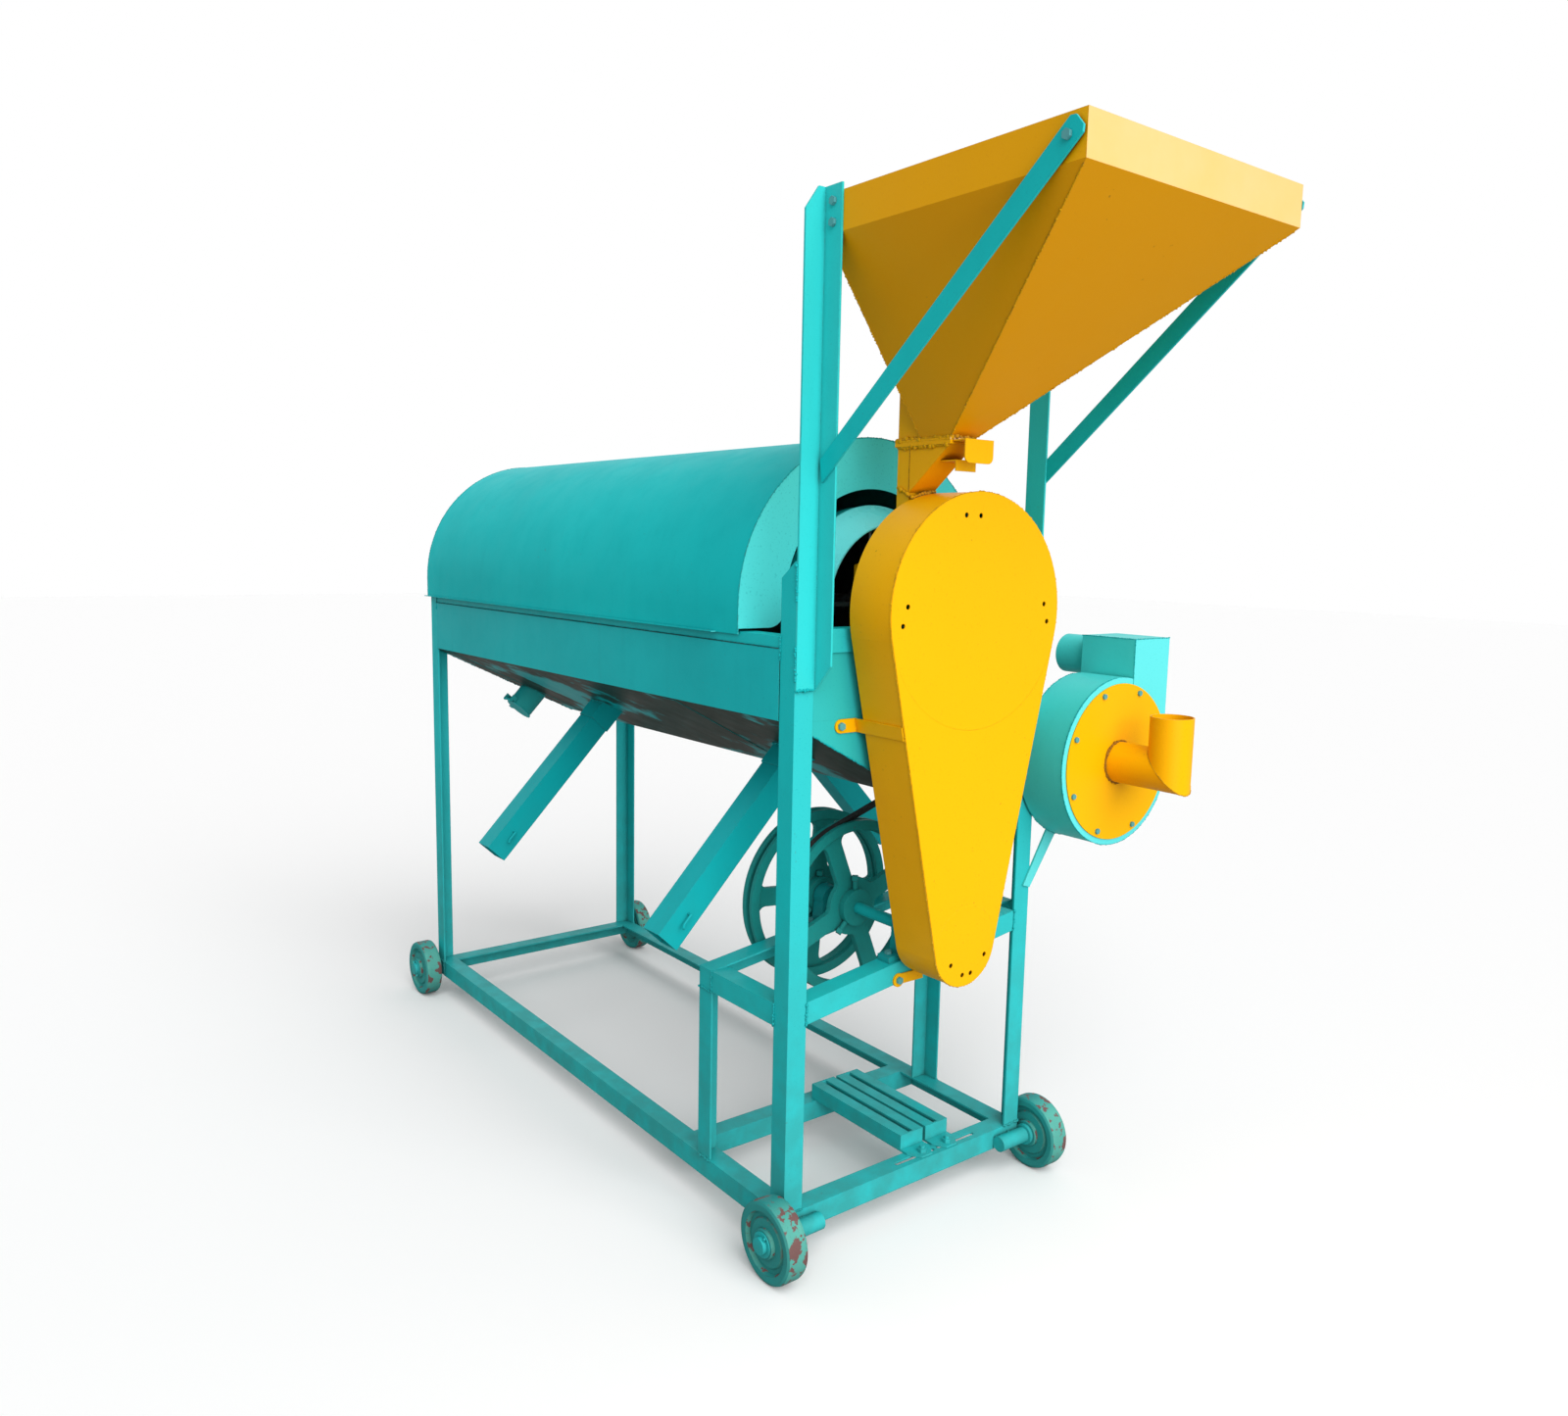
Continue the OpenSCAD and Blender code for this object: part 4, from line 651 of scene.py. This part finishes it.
def weld_group() -> NodeGroup:
    """A lumpy bead along the mesh's edges: drops of random size at a fixed pitch over a thin core."""
    group = NodeGroup("weld_bead", {
        "Width": ("NodeSocketFloat", 0.006), "Pitch": ("NodeSocketFloat", 0.003),
        "Lumps": ("NodeSocketFloat", 0.42), "Skipped": ("NodeSocketFloat", 0.0),
        "Seed": ("NodeSocketInt", 1), "Material": ("NodeSocketMaterial", None)})
    tree, given = group.tree, group.start.outputs
    curve = add(tree, "GeometryNodeMeshToCurve", {0: given["Geometry"]}).outputs[0]
    path = add(tree, "GeometryNodeResampleCurve", {"Curve": curve, "Length": given["Pitch"]},
               mode="LENGTH").outputs[0]
    wander = multiply(tree, given["Width"], 0.22)
    back = multiply(tree, wander, -1.0)
    jitter = add(tree, "FunctionNodeRandomValue", {0: back, 1: wander, "Seed": 5}, data_type="FLOAT_VECTOR")
    half = multiply(tree, given["Width"], 0.5)
    drop = add(tree, "GeometryNodeMeshUVSphere", {"Segments": 8, "Rings": 5, "Radius": half}).outputs[0]
    least = arith(tree, "SUBTRACT", 1.0, given["Lumps"])
    most = arith(tree, "ADD", 1.0, given["Lumps"])
    size = add(tree, "FunctionNodeRandomValue", {2: least, 3: most, "Seed": given["Seed"]}, data_type="FLOAT")
    chance = add(tree, "FunctionNodeRandomValue", {2: 0.0, 3: 1.0, "Seed": 7}, data_type="FLOAT")
    kept = add(tree, "FunctionNodeCompare", {0: chance.outputs[1], 1: given["Skipped"]},
               operation="GREATER_THAN", data_type="FLOAT").outputs[0]
    drops = add(tree, "GeometryNodeInstanceOnPoints",
                {"Points": path, "Instance": drop, "Scale": size.outputs[1], "Selection": kept}).outputs[0]
    drops = add(tree, "GeometryNodeTranslateInstances",
                {0: drops, "Translation": jitter.outputs[0], "Local Space": False}).outputs[0]
    ring = add(tree, "GeometryNodeCurvePrimitiveCircle", {"Resolution": 6, "Radius": half}).outputs[0]
    core = add(tree, "GeometryNodeCurveToMesh", {"Curve": path, "Profile Curve": ring, "Fill Caps": True})
    for socket in core.inputs:
        if socket.name == "Scale":
            socket.default_value = 0.6
    joined = add(tree, "GeometryNodeJoinGeometry")
    tree.links.new(drops, joined.inputs[0])
    tree.links.new(core.outputs[0], joined.inputs[0])
    real = add(tree, "GeometryNodeRealizeInstances", {0: joined.outputs[0]}).outputs[0]
    smooth = add(tree, "GeometryNodeSetShadeSmooth", {0: real}).outputs[0]
    group.finish(smooth)
    return group


def screw_group() -> NodeGroup:
    """A square-headed set screw at the first corner of each triangle, turned to its normal."""
    group = NodeGroup("set_screw", {
        "Radius": ("NodeSocketFloat", 0.005), "Height": ("NodeSocketFloat", 0.012),
        "Material": ("NodeSocketMaterial", None)})
    tree, given = group.tree, group.start.outputs
    head = add(tree, "GeometryNodeMeshCylinder", {"Vertices": 4, "Radius": given["Radius"],
                                                  "Depth": given["Height"]}).outputs[0]
    shank_r = multiply(tree, given["Radius"], 0.62)
    shank = add(tree, "GeometryNodeMeshCylinder",
                {"Vertices": 16, "Radius": shank_r, "Depth": 0.05}).outputs[0]
    shank = add(tree, "GeometryNodeTransform", {"Geometry": shank, "Translation": (0, 0, -0.021)}).outputs[0]
    joined = add(tree, "GeometryNodeJoinGeometry")
    tree.links.new(head, joined.inputs[0])
    tree.links.new(shank, joined.inputs[0])
    normal = add(tree, "GeometryNodeInputNormal").outputs[0]
    turned = add(tree, "FunctionNodeAlignRotationToVector", {"Vector": normal}, axis="Z").outputs[0]
    corner = arith(tree, "MODULO", add(tree, "GeometryNodeInputIndex").outputs[0], 3.0)
    first = add(tree, "FunctionNodeCompare", {0: corner, 1: 0.5}, operation="LESS_THAN",
                data_type="FLOAT").outputs[0]
    placed = add(tree, "GeometryNodeInstanceOnPoints",
                 {"Points": given["Geometry"], "Instance": joined.outputs[0], "Rotation": turned,
                  "Selection": first}).outputs[0]
    group.finish(placed)
    return group


# meshes


def new_piece(name: str, mesh: bpy.types.Mesh) -> bpy.types.Object:
    """Puts a mesh into the scene as an object at the origin."""
    piece = bpy.data.objects.new(name, mesh)
    bpy.context.scene.collection.objects.link(piece)
    return piece


def wire(name: str, lines: Iterable[Sequence[Vector]]) -> bpy.types.Object:
    """An object of edges only, one chain for each line."""
    points: list[Vector] = []
    edges: list[tuple[int, int]] = []
    for line in lines:
        first = len(points)
        points.extend(line)
        edges.extend((i, i + 1) for i in range(first, len(points) - 1))
    mesh = bpy.data.meshes.new(name)
    mesh.from_pydata(points, edges, [])
    return new_piece(name, mesh)


def strip(name: str, corners: Sequence[Vector], depth: Vector) -> bpy.types.Object:
    """A flat plate.

    Args:
        name: the piece's name.
        corners: its outline in order.
        depth: from the outline to the plate's other face.

    Returns:
        The plate, with its edges a little rounded.
    """
    shape = bmesh.new()
    face = shape.faces.new([shape.verts.new(c) for c in corners])
    grown = bmesh.ops.extrude_face_region(shape, geom=[face])
    moved = [v for v in grown["geom"] if isinstance(v, bmesh.types.BMVert)]
    bmesh.ops.translate(shape, verts=moved, vec=depth)
    bmesh.ops.recalc_face_normals(shape, faces=shape.faces)
    bmesh.ops.bevel(shape, geom=shape.edges[:], offset=depth.length * 0.3, segments=2, affect="EDGES")
    mesh = bpy.data.meshes.new(name)
    shape.to_mesh(mesh)
    shape.free()
    return new_piece(name, mesh)


def circle(centre: Point, radius: float, first: Point, second: Point, count: int = 64,
           start: float = 0.0, sweep: float = 360.0) -> list[Vector]:
    """Points on a circle or an arc, in millimetres of the machine.

    Args:
        centre: its centre.
        radius: its radius.
        first: the unit direction at angle 0.
        second: the unit direction at angle 90.
        count: number of steps.
        start: first angle in degrees.
        sweep: degrees covered.

    Returns:
        The points in the row frame.
    """
    points = []
    for i in range(count + 1):
        angle = math.radians(start + sweep * i / count)
        c, s = radius * math.cos(angle), radius * math.sin(angle)
        points.append(at(*(centre[k] + c * first[k] + s * second[k] for k in range(3))))
    return points


X_AXIS, Y_AXIS, Z_AXIS = (1.0, 0.0, 0.0), (0.0, 1.0, 0.0), (0.0, 0.0, 1.0)


# sub-assemblies


@dataclass
class AngleFrame:
    """The welded frame of angle iron; sizes in millimetres."""

    half_l: float = 990.0
    half_w: float = 377.0
    flange: float = 50.0
    base_top: float = 120.0
    side_top: float = 1384.0
    sub_near: float = 589.0
    sub_far: float = 693.0
    post_x: float = 650.0
    upright_low: float = 1276.0
    stub_top: float = 1540.0
    near_mast: float = 324.0
    far_mast: float = 300.0
    mast_out: float = 53.0

    def legs(self) -> list[list[Vector]]:
        """Beads round each leg's foot and down the top rails' ends."""
        lines = []
        for sx in (-1, 1):
            for sy in (-1, 1):
                x, y = sx * self.half_l, sy * self.half_w
                z = self.base_top + 1
                lines.append([at(x - sx * self.flange, y + sy, z), at(x + sx, y + sy, z),
                              at(x + sx, y - sy * self.flange, z)])
                inner = x - sx * self.flange
                for top in (self.base_top, self.side_top):
                    lines.append([at(inner, y + sy, top - 48), at(inner, y + sy, top - 2)])
        return lines

    def drive_frame(self) -> list[list[Vector]]:
        """Beads at the small frame under the drive."""
        lines = []
        for sy, top in ((-1, self.sub_near), (1, self.sub_far)):
            y = sy * self.half_w
            for x in (self.half_l - self.flange, self.post_x + self.flange):
                lines.append([at(x, y + sy, top - 48), at(x, y + sy, top - 2)])
            for z in (top - 50, self.base_top):
                lines.append([at(self.post_x, y + sy, z), at(self.post_x + self.flange, y + sy, z)])
        x = self.half_l + 1
        for y, top in ((-327, 596), (327, 686)):
            lines.append([at(x, y, top - 50), at(x, y, top - 1)])
        return lines

    def masts(self) -> list[list[Vector]]:
        """Beads that hold the two uprights to the front legs."""
        x = self.half_l + 1
        near = -self.near_mast - self.mast_out
        lines = [[at(x + 4, near, self.upright_low), at(x + 4, -self.near_mast - 6, self.upright_low)]]
        lines.append([at(x, near - 0.5, self.upright_low + 20), at(x, near - 0.5, self.upright_low + 90)])
        lines.append([at(x, near - 0.5, self.stub_top - 80), at(x, near - 0.5, self.stub_top - 10)])
        far = self.far_mast + self.mast_out
        lines.append([at(x + 2, far, self.upright_low + 10), at(x + 2, far, self.upright_low + 80)])
        return lines

    def axles(self) -> list[list[Vector]]:
        """Beads along the axle stubs."""
        lines = []
        for sx in (-1, 1):
            for sy in (-1, 1):
                x = sx * (self.half_l + 6)
                for z in (101.0, 79.0):
                    lines.append([at(x, sy * 290, z), at(x, sy * 376, z)])
        return lines

    def seams(self) -> list[Seam]:
        """All the frame's weld seams."""
        return [Seam("weld_legs", self.legs(), 5.0, seed=3),
                Seam("weld_drive_frame", self.drive_frame(), 6.0, seed=5),
                Seam("weld_masts", self.masts(), 6.0, seed=8),
                Seam("weld_axles", self.axles(), 7.0, seed=9)]


@dataclass
class HopperDress:
    """Seams of the hopper, its neck and the feed duct; sizes in millimetres."""

    rim: tuple[float, float, float, float] = (996.0, 1628.0, -324.0, 300.0)
    neck: tuple[float, float, float, float] = (1040.0, 1125.0, -92.0, -22.0)
    rim_low: float = 2177.0
    rim_top: float = 2254.0
    neck_z: float = 1797.0

    def corners(self, r: tuple[float, float, float, float], z: float) -> list[Vector]:
        """The four corners of a rectangle at one height."""
        return [at(r[0], r[2], z), at(r[1], r[2], z), at(r[1], r[3], z), at(r[0], r[3], z)]

    def seams(self) -> list[Seam]:
        """The beads down the pyramid's corners, round its neck and at the rim's corners."""
        low, high, top = (self.corners(self.neck, self.neck_z), self.corners(self.rim, self.rim_low),
                          self.corners(self.rim, self.rim_top))
        hips = [[a, a.lerp(b, 0.985)] for a, b in zip(low, high)]
        rims = [[high[i], top[i].lerp(high[i], 0.05)] for i in (0, 3)]
        neck = [low + low[:1]]
        flange = [[at(970, -93, 1798), at(1122, -93, 1798)], [at(1126, -92, 1798), at(1126, -22, 1798)],
                  [at(970, -93, 1782), at(1118, -93, 1782)]]
        duct = [[at(975, -93, 1700), at(1012, -93, 1680)],
                [at(1015, -92, 1676), at(1014, -57, 1686), at(1013, -22, 1692)]]
        fold = [[at(1007, -92.4, 1690), at(1007, -92.4, 1786)]]
        return [Seam("weld_hopper_hips", hips, 3.6, "yellow_weld", 11, 0.35),
                Seam("weld_hopper_corners", rims, 3.0, "yellow_weld", 12, 0.3),
                Seam("weld_hopper_neck", neck, 7.0, "yellow_weld", 13),
                Seam("weld_feed_flange", flange, 10.0, "yellow_weld", 14, 0.12),
                Seam("weld_feed_duct", duct, 10.0, "yellow_weld", 15, 0.1),
                Seam("gap_feed_fold", fold, 1.6, "rusty_weld", 16)]


@dataclass
class GuardDress:
    """The bead between the guard's band and its plate; sizes in millimetres."""

    top_z: float = DRUM_Z
    top_r: float = 252.5
    low_z: float = 701.0
    low_r: float = 91.0
    front: float = 1139.0
    sheet: float = 2.5

    def outline(self) -> list[Vector]:
        """The guard's outline at the plate's rear face."""
        lean = math.degrees(math.asin((self.top_r - self.low_r) / (self.top_z - self.low_z)))
        x = self.front - self.sheet
        top = circle((x, 0, self.top_z), self.top_r + 0.3, Y_AXIS, Z_AXIS, 72, -lean, 180 + 2 * lean)
        low = circle((x, 0, self.low_z), self.low_r + 0.3, Y_AXIS, Z_AXIS, 36, 180 + lean, 180 - 2 * lean)
        return top + low + top[:1]

    def seams(self) -> list[Seam]:
        """The guard's edge bead, broken where it was ground off."""
        return [Seam("weld_guard_edge", [self.outline()], 3.4, "yellow_weld", 21, 0.45)]


@dataclass
class TroughDress:
    """Seams and lap strips of the trough; sizes in millimetres."""

    half_w: float = 379.0
    knee_z: float = 1207.0
    keel_z: float = 1003.0
    end_x: float = 985.0
    hip_run: float = 270.0
    slope: float = 46.7
    outlet_y: float = 162.0
    chutes: tuple[tuple[float, int], ...] = ((-182.0, -1), (718.0, -1), (270.0, 1))
    lap_w: float = 55.0
    lap_t: float = 1.5

    @property
    def fall(self) -> float:
        """Rise of the trough's panels for each millimetre outwards."""
        return (self.knee_z - self.keel_z) / self.half_w

    def panel(self, x: float, y: float, proud: float = 0.0) -> Vector:
        """A point on the outer face of a V panel."""
        return at(x, y, self.keel_z + self.fall * abs(y) - proud)

    def mouth(self, x: float, side: int, half: float, down: float) -> list[Vector]:
        """The outline of a square sleeve at a distance down the chute."""
        a = math.radians(self.slope)
        along = Vector((0, side * math.cos(a), -math.sin(a)))
        across = Vector((0, side * math.sin(a), math.cos(a)))
        start = Vector((x, side * self.outlet_y, self.keel_z + self.fall * self.outlet_y))
        loop = []
        for u, v in ((-1, -1), (1, -1), (1, 1), (-1, 1), (-1, -1)):
            corner = start + Vector((u * half, 0, 0)) + across * v * half
            if down < 0:
                over = corner.z - (self.keel_z + self.fall * abs(corner.y))
                corner = corner + along * (over / (math.sin(a) + self.fall * math.cos(a)))
            else:
                corner = corner + along * down
            loop.append(at(*corner))
        return loop

    def seams(self) -> list[Seam]:
        """The beads along the hips, the end panel and the chutes."""
        rear = -self.end_x
        hips = [[at(rear, s * self.half_w * 0.97, self.knee_z - 4), self.panel(rear + self.hip_run, 0)]
                for s in (-1, 1)]
        ends = [[self.panel(self.end_x - 1, s * 376), self.panel(self.end_x - 1, 0)] for s in (-1, 1)]
        roots = [self.mouth(x, side, 35.5, -1) for x, side in self.chutes]
        sleeves = [self.mouth(x, side, 34.0, 64.0) for x, side in self.chutes]
        return [Seam("weld_trough_hips", hips, 4.0, seed=31),
                Seam("weld_trough_end", ends, 4.0, seed=32),
                Seam("weld_chute_roots", roots, 7.0, seed=33),
                Seam("weld_chute_sleeves", sleeves, 3.0, seed=34),
                Seam("gap_trough_top", self.gaps(), 2.0, "dark_gap", 35)]

    def gaps(self) -> list[list[Vector]]:
        """The dark line where the sheet's top edge lies against the rails."""
        top, x, y = 1359.2, 938.0, self.half_w + 0.2
        sides = [[at(-x, s * y, top), at(0, s * y, top + 0.6), at(x, s * y, top)] for s in (-1, 1)]
        ends = [[at(s * (self.end_x + 1), -326, top), at(s * (self.end_x + 1), 326, top)] for s in (-1, 1)]
        return sides + ends

    def laps(self) -> list[bpy.types.Object]:
        """The lap strips across the near panel, where two sheets overlap."""
        made = []
        for index, (top, low) in enumerate(((-900.0, -640.0), (470.0, 470.0))):
            corners = [self.panel(top, -372), self.panel(top + self.lap_w, -372),
                       self.panel(low + self.lap_w, -8), self.panel(low, -8)]
            outwards = Vector((0, -0.54, -1)).normalized()
            made.append(strip(f"trough_lap_{index}", corners, outwards * self.lap_t * MM))
        return made


@dataclass
class HoodDress:
    """Seams of the lift-off hood; sizes in millimetres."""

    axis_z: float = 1436.5
    radius: float = 383.0
    front: float = 794.0
    rear: float = -1004.0
    skirt_z: float = 1378.0

    def seams(self) -> list[Seam]:
        """The beads where the half-round sheet meets its two end faces."""
        drop = self.axis_z - self.skirt_z - 4
        rims = []
        for x in (self.front, self.rear + 1.2):
            arc = circle((x, 0, self.axis_z), self.radius + 0.4, Y_AXIS, Z_AXIS, 96, 0, 180)
            ends = [at(x, s * (self.radius + 0.4), self.axis_z - drop) for s in (1, -1)]
            rims.append([ends[0], *arc, ends[1]])
        return [Seam("weld_hood_front", rims[:1], 2.8, "teal_weld", 51, 0.3),
                Seam("weld_hood_rear", rims[1:], 2.2, "teal_weld", 52, 0.3)]


@dataclass
class BlowerDress:
    """Seams of the blower; sizes in millimetres."""

    y: float = 522.0
    z: float = 1063.0
    front: float = 1125.0
    disc: float = 3.0
    pipe: float = 50.0
    elbow_x: float = 1272.0
    scroll_r: float = 206.3
    back: float = 996.0

    def seams(self) -> list[Seam]:
        """The rusty bead at the elbow's root, its mitre, and the housing's seams."""
        face = self.front + self.disc
        root = circle((face + 1, self.y, self.z), self.pipe + 1, Y_AXIS, Z_AXIS, 48)
        bend = []
        for i in range(49):
            angle = 2 * math.pi * i / 48
            across, up = self.pipe * math.cos(angle), self.pipe * math.sin(angle)
            bend.append(at(self.elbow_x - up, self.y + across, self.z + up))
        rim, back = (circle((x, self.y, self.z), self.scroll_r, Y_AXIS, Z_AXIS, 80, 95, 250)
                     for x in (self.front - 1, self.back))
        stub = circle((964, 637, 1304), self.pipe + 1, Y_AXIS, Z_AXIS, 40)
        box = [[at(965, 568, 1360), at(1125, 568, 1360)], [at(1125, 568, 1250), at(1125, 568, 1360)],
               [at(1125, 568, 1360), at(1125, 706, 1360)]]
        return [Seam("weld_elbow_root", [root], 7.0, "rusty_weld", 41),
                Seam("weld_elbow_mitre", [bend], 3.0, "yellow_weld", 42),
                Seam("weld_scroll", [rim, back], 2.6, "teal_weld", 43, 0.3),
                Seam("weld_outlet", [stub], 5.0, "teal_weld", 44),
                Seam("weld_outlet_box", box, 2.4, "teal_weld", 45, 0.3)]


@dataclass
class DriveDress:
    """Set screws in the pulleys' hubs; sizes in millimetres.

    Each hub has its place along X and how far its screws stand out.
    """

    hub_r: float = 45.0
    lay: tuple[float, float] = (-12.0, 701.0)
    hubs: tuple[tuple[float, float], ...] = ((781.0, 27.0), (645.0, 8.0))
    screw_r: float = 10.0
    screw_h: float = 12.0
    angles: tuple[float, ...] = (92.0, 228.0)

    def points(self) -> bpy.types.Object:
        """One tiny triangle for each screw, its normal pointing out of the hub."""
        mesh = bpy.data.meshes.new("screw_points")
        shape = bmesh.new()
        for x, stands_out in self.hubs:
            for angle in self.angles:
                a = math.radians(angle)
                out = Vector((0, math.cos(a), math.sin(a)))
                centre = at(x, *self.lay) + out * (self.hub_r + stands_out) * MM
                side = out.cross(Vector((1, 0, 0))) * 1e-4
                ahead = Vector((1e-4, 0, 0))
                face = shape.faces.new([shape.verts.new(centre + d) for d in (side, ahead, -side)])
                face.normal_update()
                if face.normal.dot(out) < 0:
                    face.normal_flip()
        shape.to_mesh(mesh)
        shape.free()
        return new_piece("screw_points", mesh)


class Workshop:
    """Builds the dressing of every sub-assembly and tells which body it rides on."""

    def __init__(self, palette: Palette) -> None:
        """Keeps the materials and makes the node trees."""
        self.palette = palette
        self.weld = weld_group()
        self.screw = screw_group()

    def settle(self, piece: bpy.types.Object, body: Body) -> None:
        """Attaches the piece to its body and reports which body it rides on."""
        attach(piece, body.value)
        log.info("%s rides on %s", piece.name, body.value)

    def lay_seams(self, seams: Iterable[Seam], body: Body = Body.FRAME) -> None:
        """Turns each seam into a piece."""
        for seam in seams:
            piece = wire(seam.name, seam.lines)
            pitch = max(seam.width_mm * 0.75, 2.0)
            self.weld.bake(piece, {
                "Width": seam.width_mm * MM, "Pitch": pitch * MM, "Skipped": seam.gap,
                "Seed": seam.seed, "Material": self.palette.extra[seam.paint]})
            self.settle(piece, body)

    def set_screws(self, drive: DriveDress) -> None:
        """Puts square set screws into the lay shaft's pulleys."""
        piece = drive.points()
        piece.name = "hub_screws"
        self.screw.bake(piece, {"Radius": drive.screw_r * MM, "Height": drive.screw_h * MM,
                                "Material": self.palette.made[Slot.TEAL_CAST]})
        self.settle(piece, Body.LAY)

    def laps(self, trough: TroughDress) -> None:
        """Dresses the trough's lap strips."""
        for piece in trough.laps():
            piece.data.materials.append(self.palette.made[Slot.TROUGH])
            self.settle(piece, Body.FRAME)


# studio


@dataclass
class Studio:
    """Floor, light and camera. The camera's place is in millimetres from the legs' centre."""

    place: Point = (2891.4, -1867.7, 1575.3)
    azimuth: float = 52.4
    fall: float = 7.87
    roll: float = 1.11
    focal_px: float = 1212.4
    shift_px: float = 0.5
    floor: str = "#fbfbfb"
    floor_bounce: str = "#a2a2a0"
    ambient: float = 0.5
    sun: float = 2.6
    sun_towards: Point = (-0.76, 0.18, -0.62)
    sun_size: float = 65.0
    fill: float = 16.0
    fill_size: float = 1.6
    fill_from: Point = (3300.0, -500.0, 1250.0)
    fill_to: Point = (800.0, 0.0, 1550.0)

    def build_floor(self) -> None:
        """A plain pale floor that keeps the shadow."""
        bpy.ops.mesh.primitive_plane_add(size=60, location=(0, 0, 0))
        floor = bpy.context.object
        floor.name = "studio_floor"
        material = bpy.data.materials.new("floor_paper")
        material.use_nodes = True
        tree = material.node_tree
        shader = tree.nodes["Principled BSDF"]
        seen = add(tree, "ShaderNodeLightPath").outputs["Is Camera Ray"]
        tree.links.new(blend(tree, seen, linear(self.floor_bounce), linear(self.floor)),
                       shader.inputs["Base Color"])
        shader.inputs["Roughness"].default_value = 0.9
        shader.inputs["Specular IOR Level"].default_value = 0.1
        floor.data.materials.append(material)

    def build_light(self) -> None:
        """A white world, one soft sun and a weak panel that lights what is under the hopper."""
        world = bpy.data.worlds.new("studio")
        bpy.context.scene.world = world
        world.use_nodes = True
        tree = world.node_tree
        tree.nodes.clear()
        rays = add(tree, "ShaderNodeLightPath").outputs
        seen = arith(tree, "MAXIMUM", rays["Is Camera Ray"], rays["Is Glossy Ray"])
        seen = arith(tree, "MAXIMUM", seen, rays["Is Transmission Ray"])
        plain = add(tree, "ShaderNodeBackground", {"Color": (1, 1, 1, 1), "Strength": self.ambient})
        white = add(tree, "ShaderNodeBackground", {"Color": (1, 1, 1, 1), "Strength": 1.0})
        mix = add(tree, "ShaderNodeMixShader", {0: seen, 1: plain.outputs[0], 2: white.outputs[0]})
        out = add(tree, "ShaderNodeOutputWorld")
        tree.links.new(mix.outputs[0], out.inputs["Surface"])
        lamp = bpy.data.lights.new("key", "SUN")
        lamp.energy = self.sun
        lamp.angle = math.radians(self.sun_size)
        key = bpy.data.objects.new("key", lamp)
        key.rotation_mode = "QUATERNION"
        key.rotation_quaternion = Vector(self.sun_towards).to_track_quat("-Z", "Y")
        key.location = (4, 0, 5)
        bpy.context.scene.collection.objects.link(key)
        panel = bpy.data.lights.new("fill", "AREA")
        panel.energy = self.fill
        panel.size = self.fill_size
        low = bpy.data.objects.new("fill", panel)
        low.location = at(*self.fill_from)
        low.rotation_mode = "QUATERNION"
        low.rotation_quaternion = (at(*self.fill_to) - at(*self.fill_from)).to_track_quat("-Z", "Y")
        low.visible_camera = False
        bpy.context.scene.collection.objects.link(low)

    def build_camera(self) -> None:
        """The photograph's viewpoint: azimuth, downward tilt and roll in degrees."""
        az, down, roll = (math.radians(v) for v in (self.azimuth, self.fall, self.roll))
        ahead = Vector((-math.sin(az) * math.cos(down), math.cos(az) * math.cos(down), -math.sin(down)))
        right = Vector((math.cos(az), math.sin(az), 0.0))
        up = right.cross(ahead)
        side = math.cos(roll) * right + math.sin(roll) * up
        top = -math.sin(roll) * right + math.cos(roll) * up
        data = bpy.data.cameras.new("photo_view")
        data.sensor_fit = "HORIZONTAL"
        data.sensor_width = SENSOR_WIDTH
        data.lens = SENSOR_WIDTH * self.focal_px / IMAGE_WIDTH
        data.shift_y = -self.shift_px / IMAGE_WIDTH
        data.clip_start, data.clip_end = 0.05, 200.0
        camera = bpy.data.objects.new("photo_view", data)
        turn = Matrix((side, top, -ahead)).transposed()
        camera.matrix_world = Matrix.Translation(at(*self.place)) @ turn.to_4x4()
        bpy.context.scene.collection.objects.link(camera)
        bpy.context.scene.camera = camera

    def build(self) -> None:
        """Sets the whole studio up."""
        self.build_floor()
        self.build_light()
        self.build_camera()
        bpy.context.scene.view_settings.view_transform = "Standard"


def main() -> None:
    """Builds every part of the scene in order."""
    logging.basicConfig(level=logging.INFO)
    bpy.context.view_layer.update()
    Studio().build()
    palette = Palette()
    palette.dress_nodes()
    workshop = Workshop(palette)
    trough = TroughDress()
    workshop.lay_seams(AngleFrame().seams())
    workshop.lay_seams(HopperDress().seams())
    workshop.lay_seams(GuardDress().seams())
    workshop.lay_seams(trough.seams())
    workshop.lay_seams(BlowerDress().seams())
    workshop.lay_seams(HoodDress().seams(), Body.COVER)
    workshop.laps(trough)
    workshop.set_screws(DriveDress())


if __name__ == "__main__":
    main()
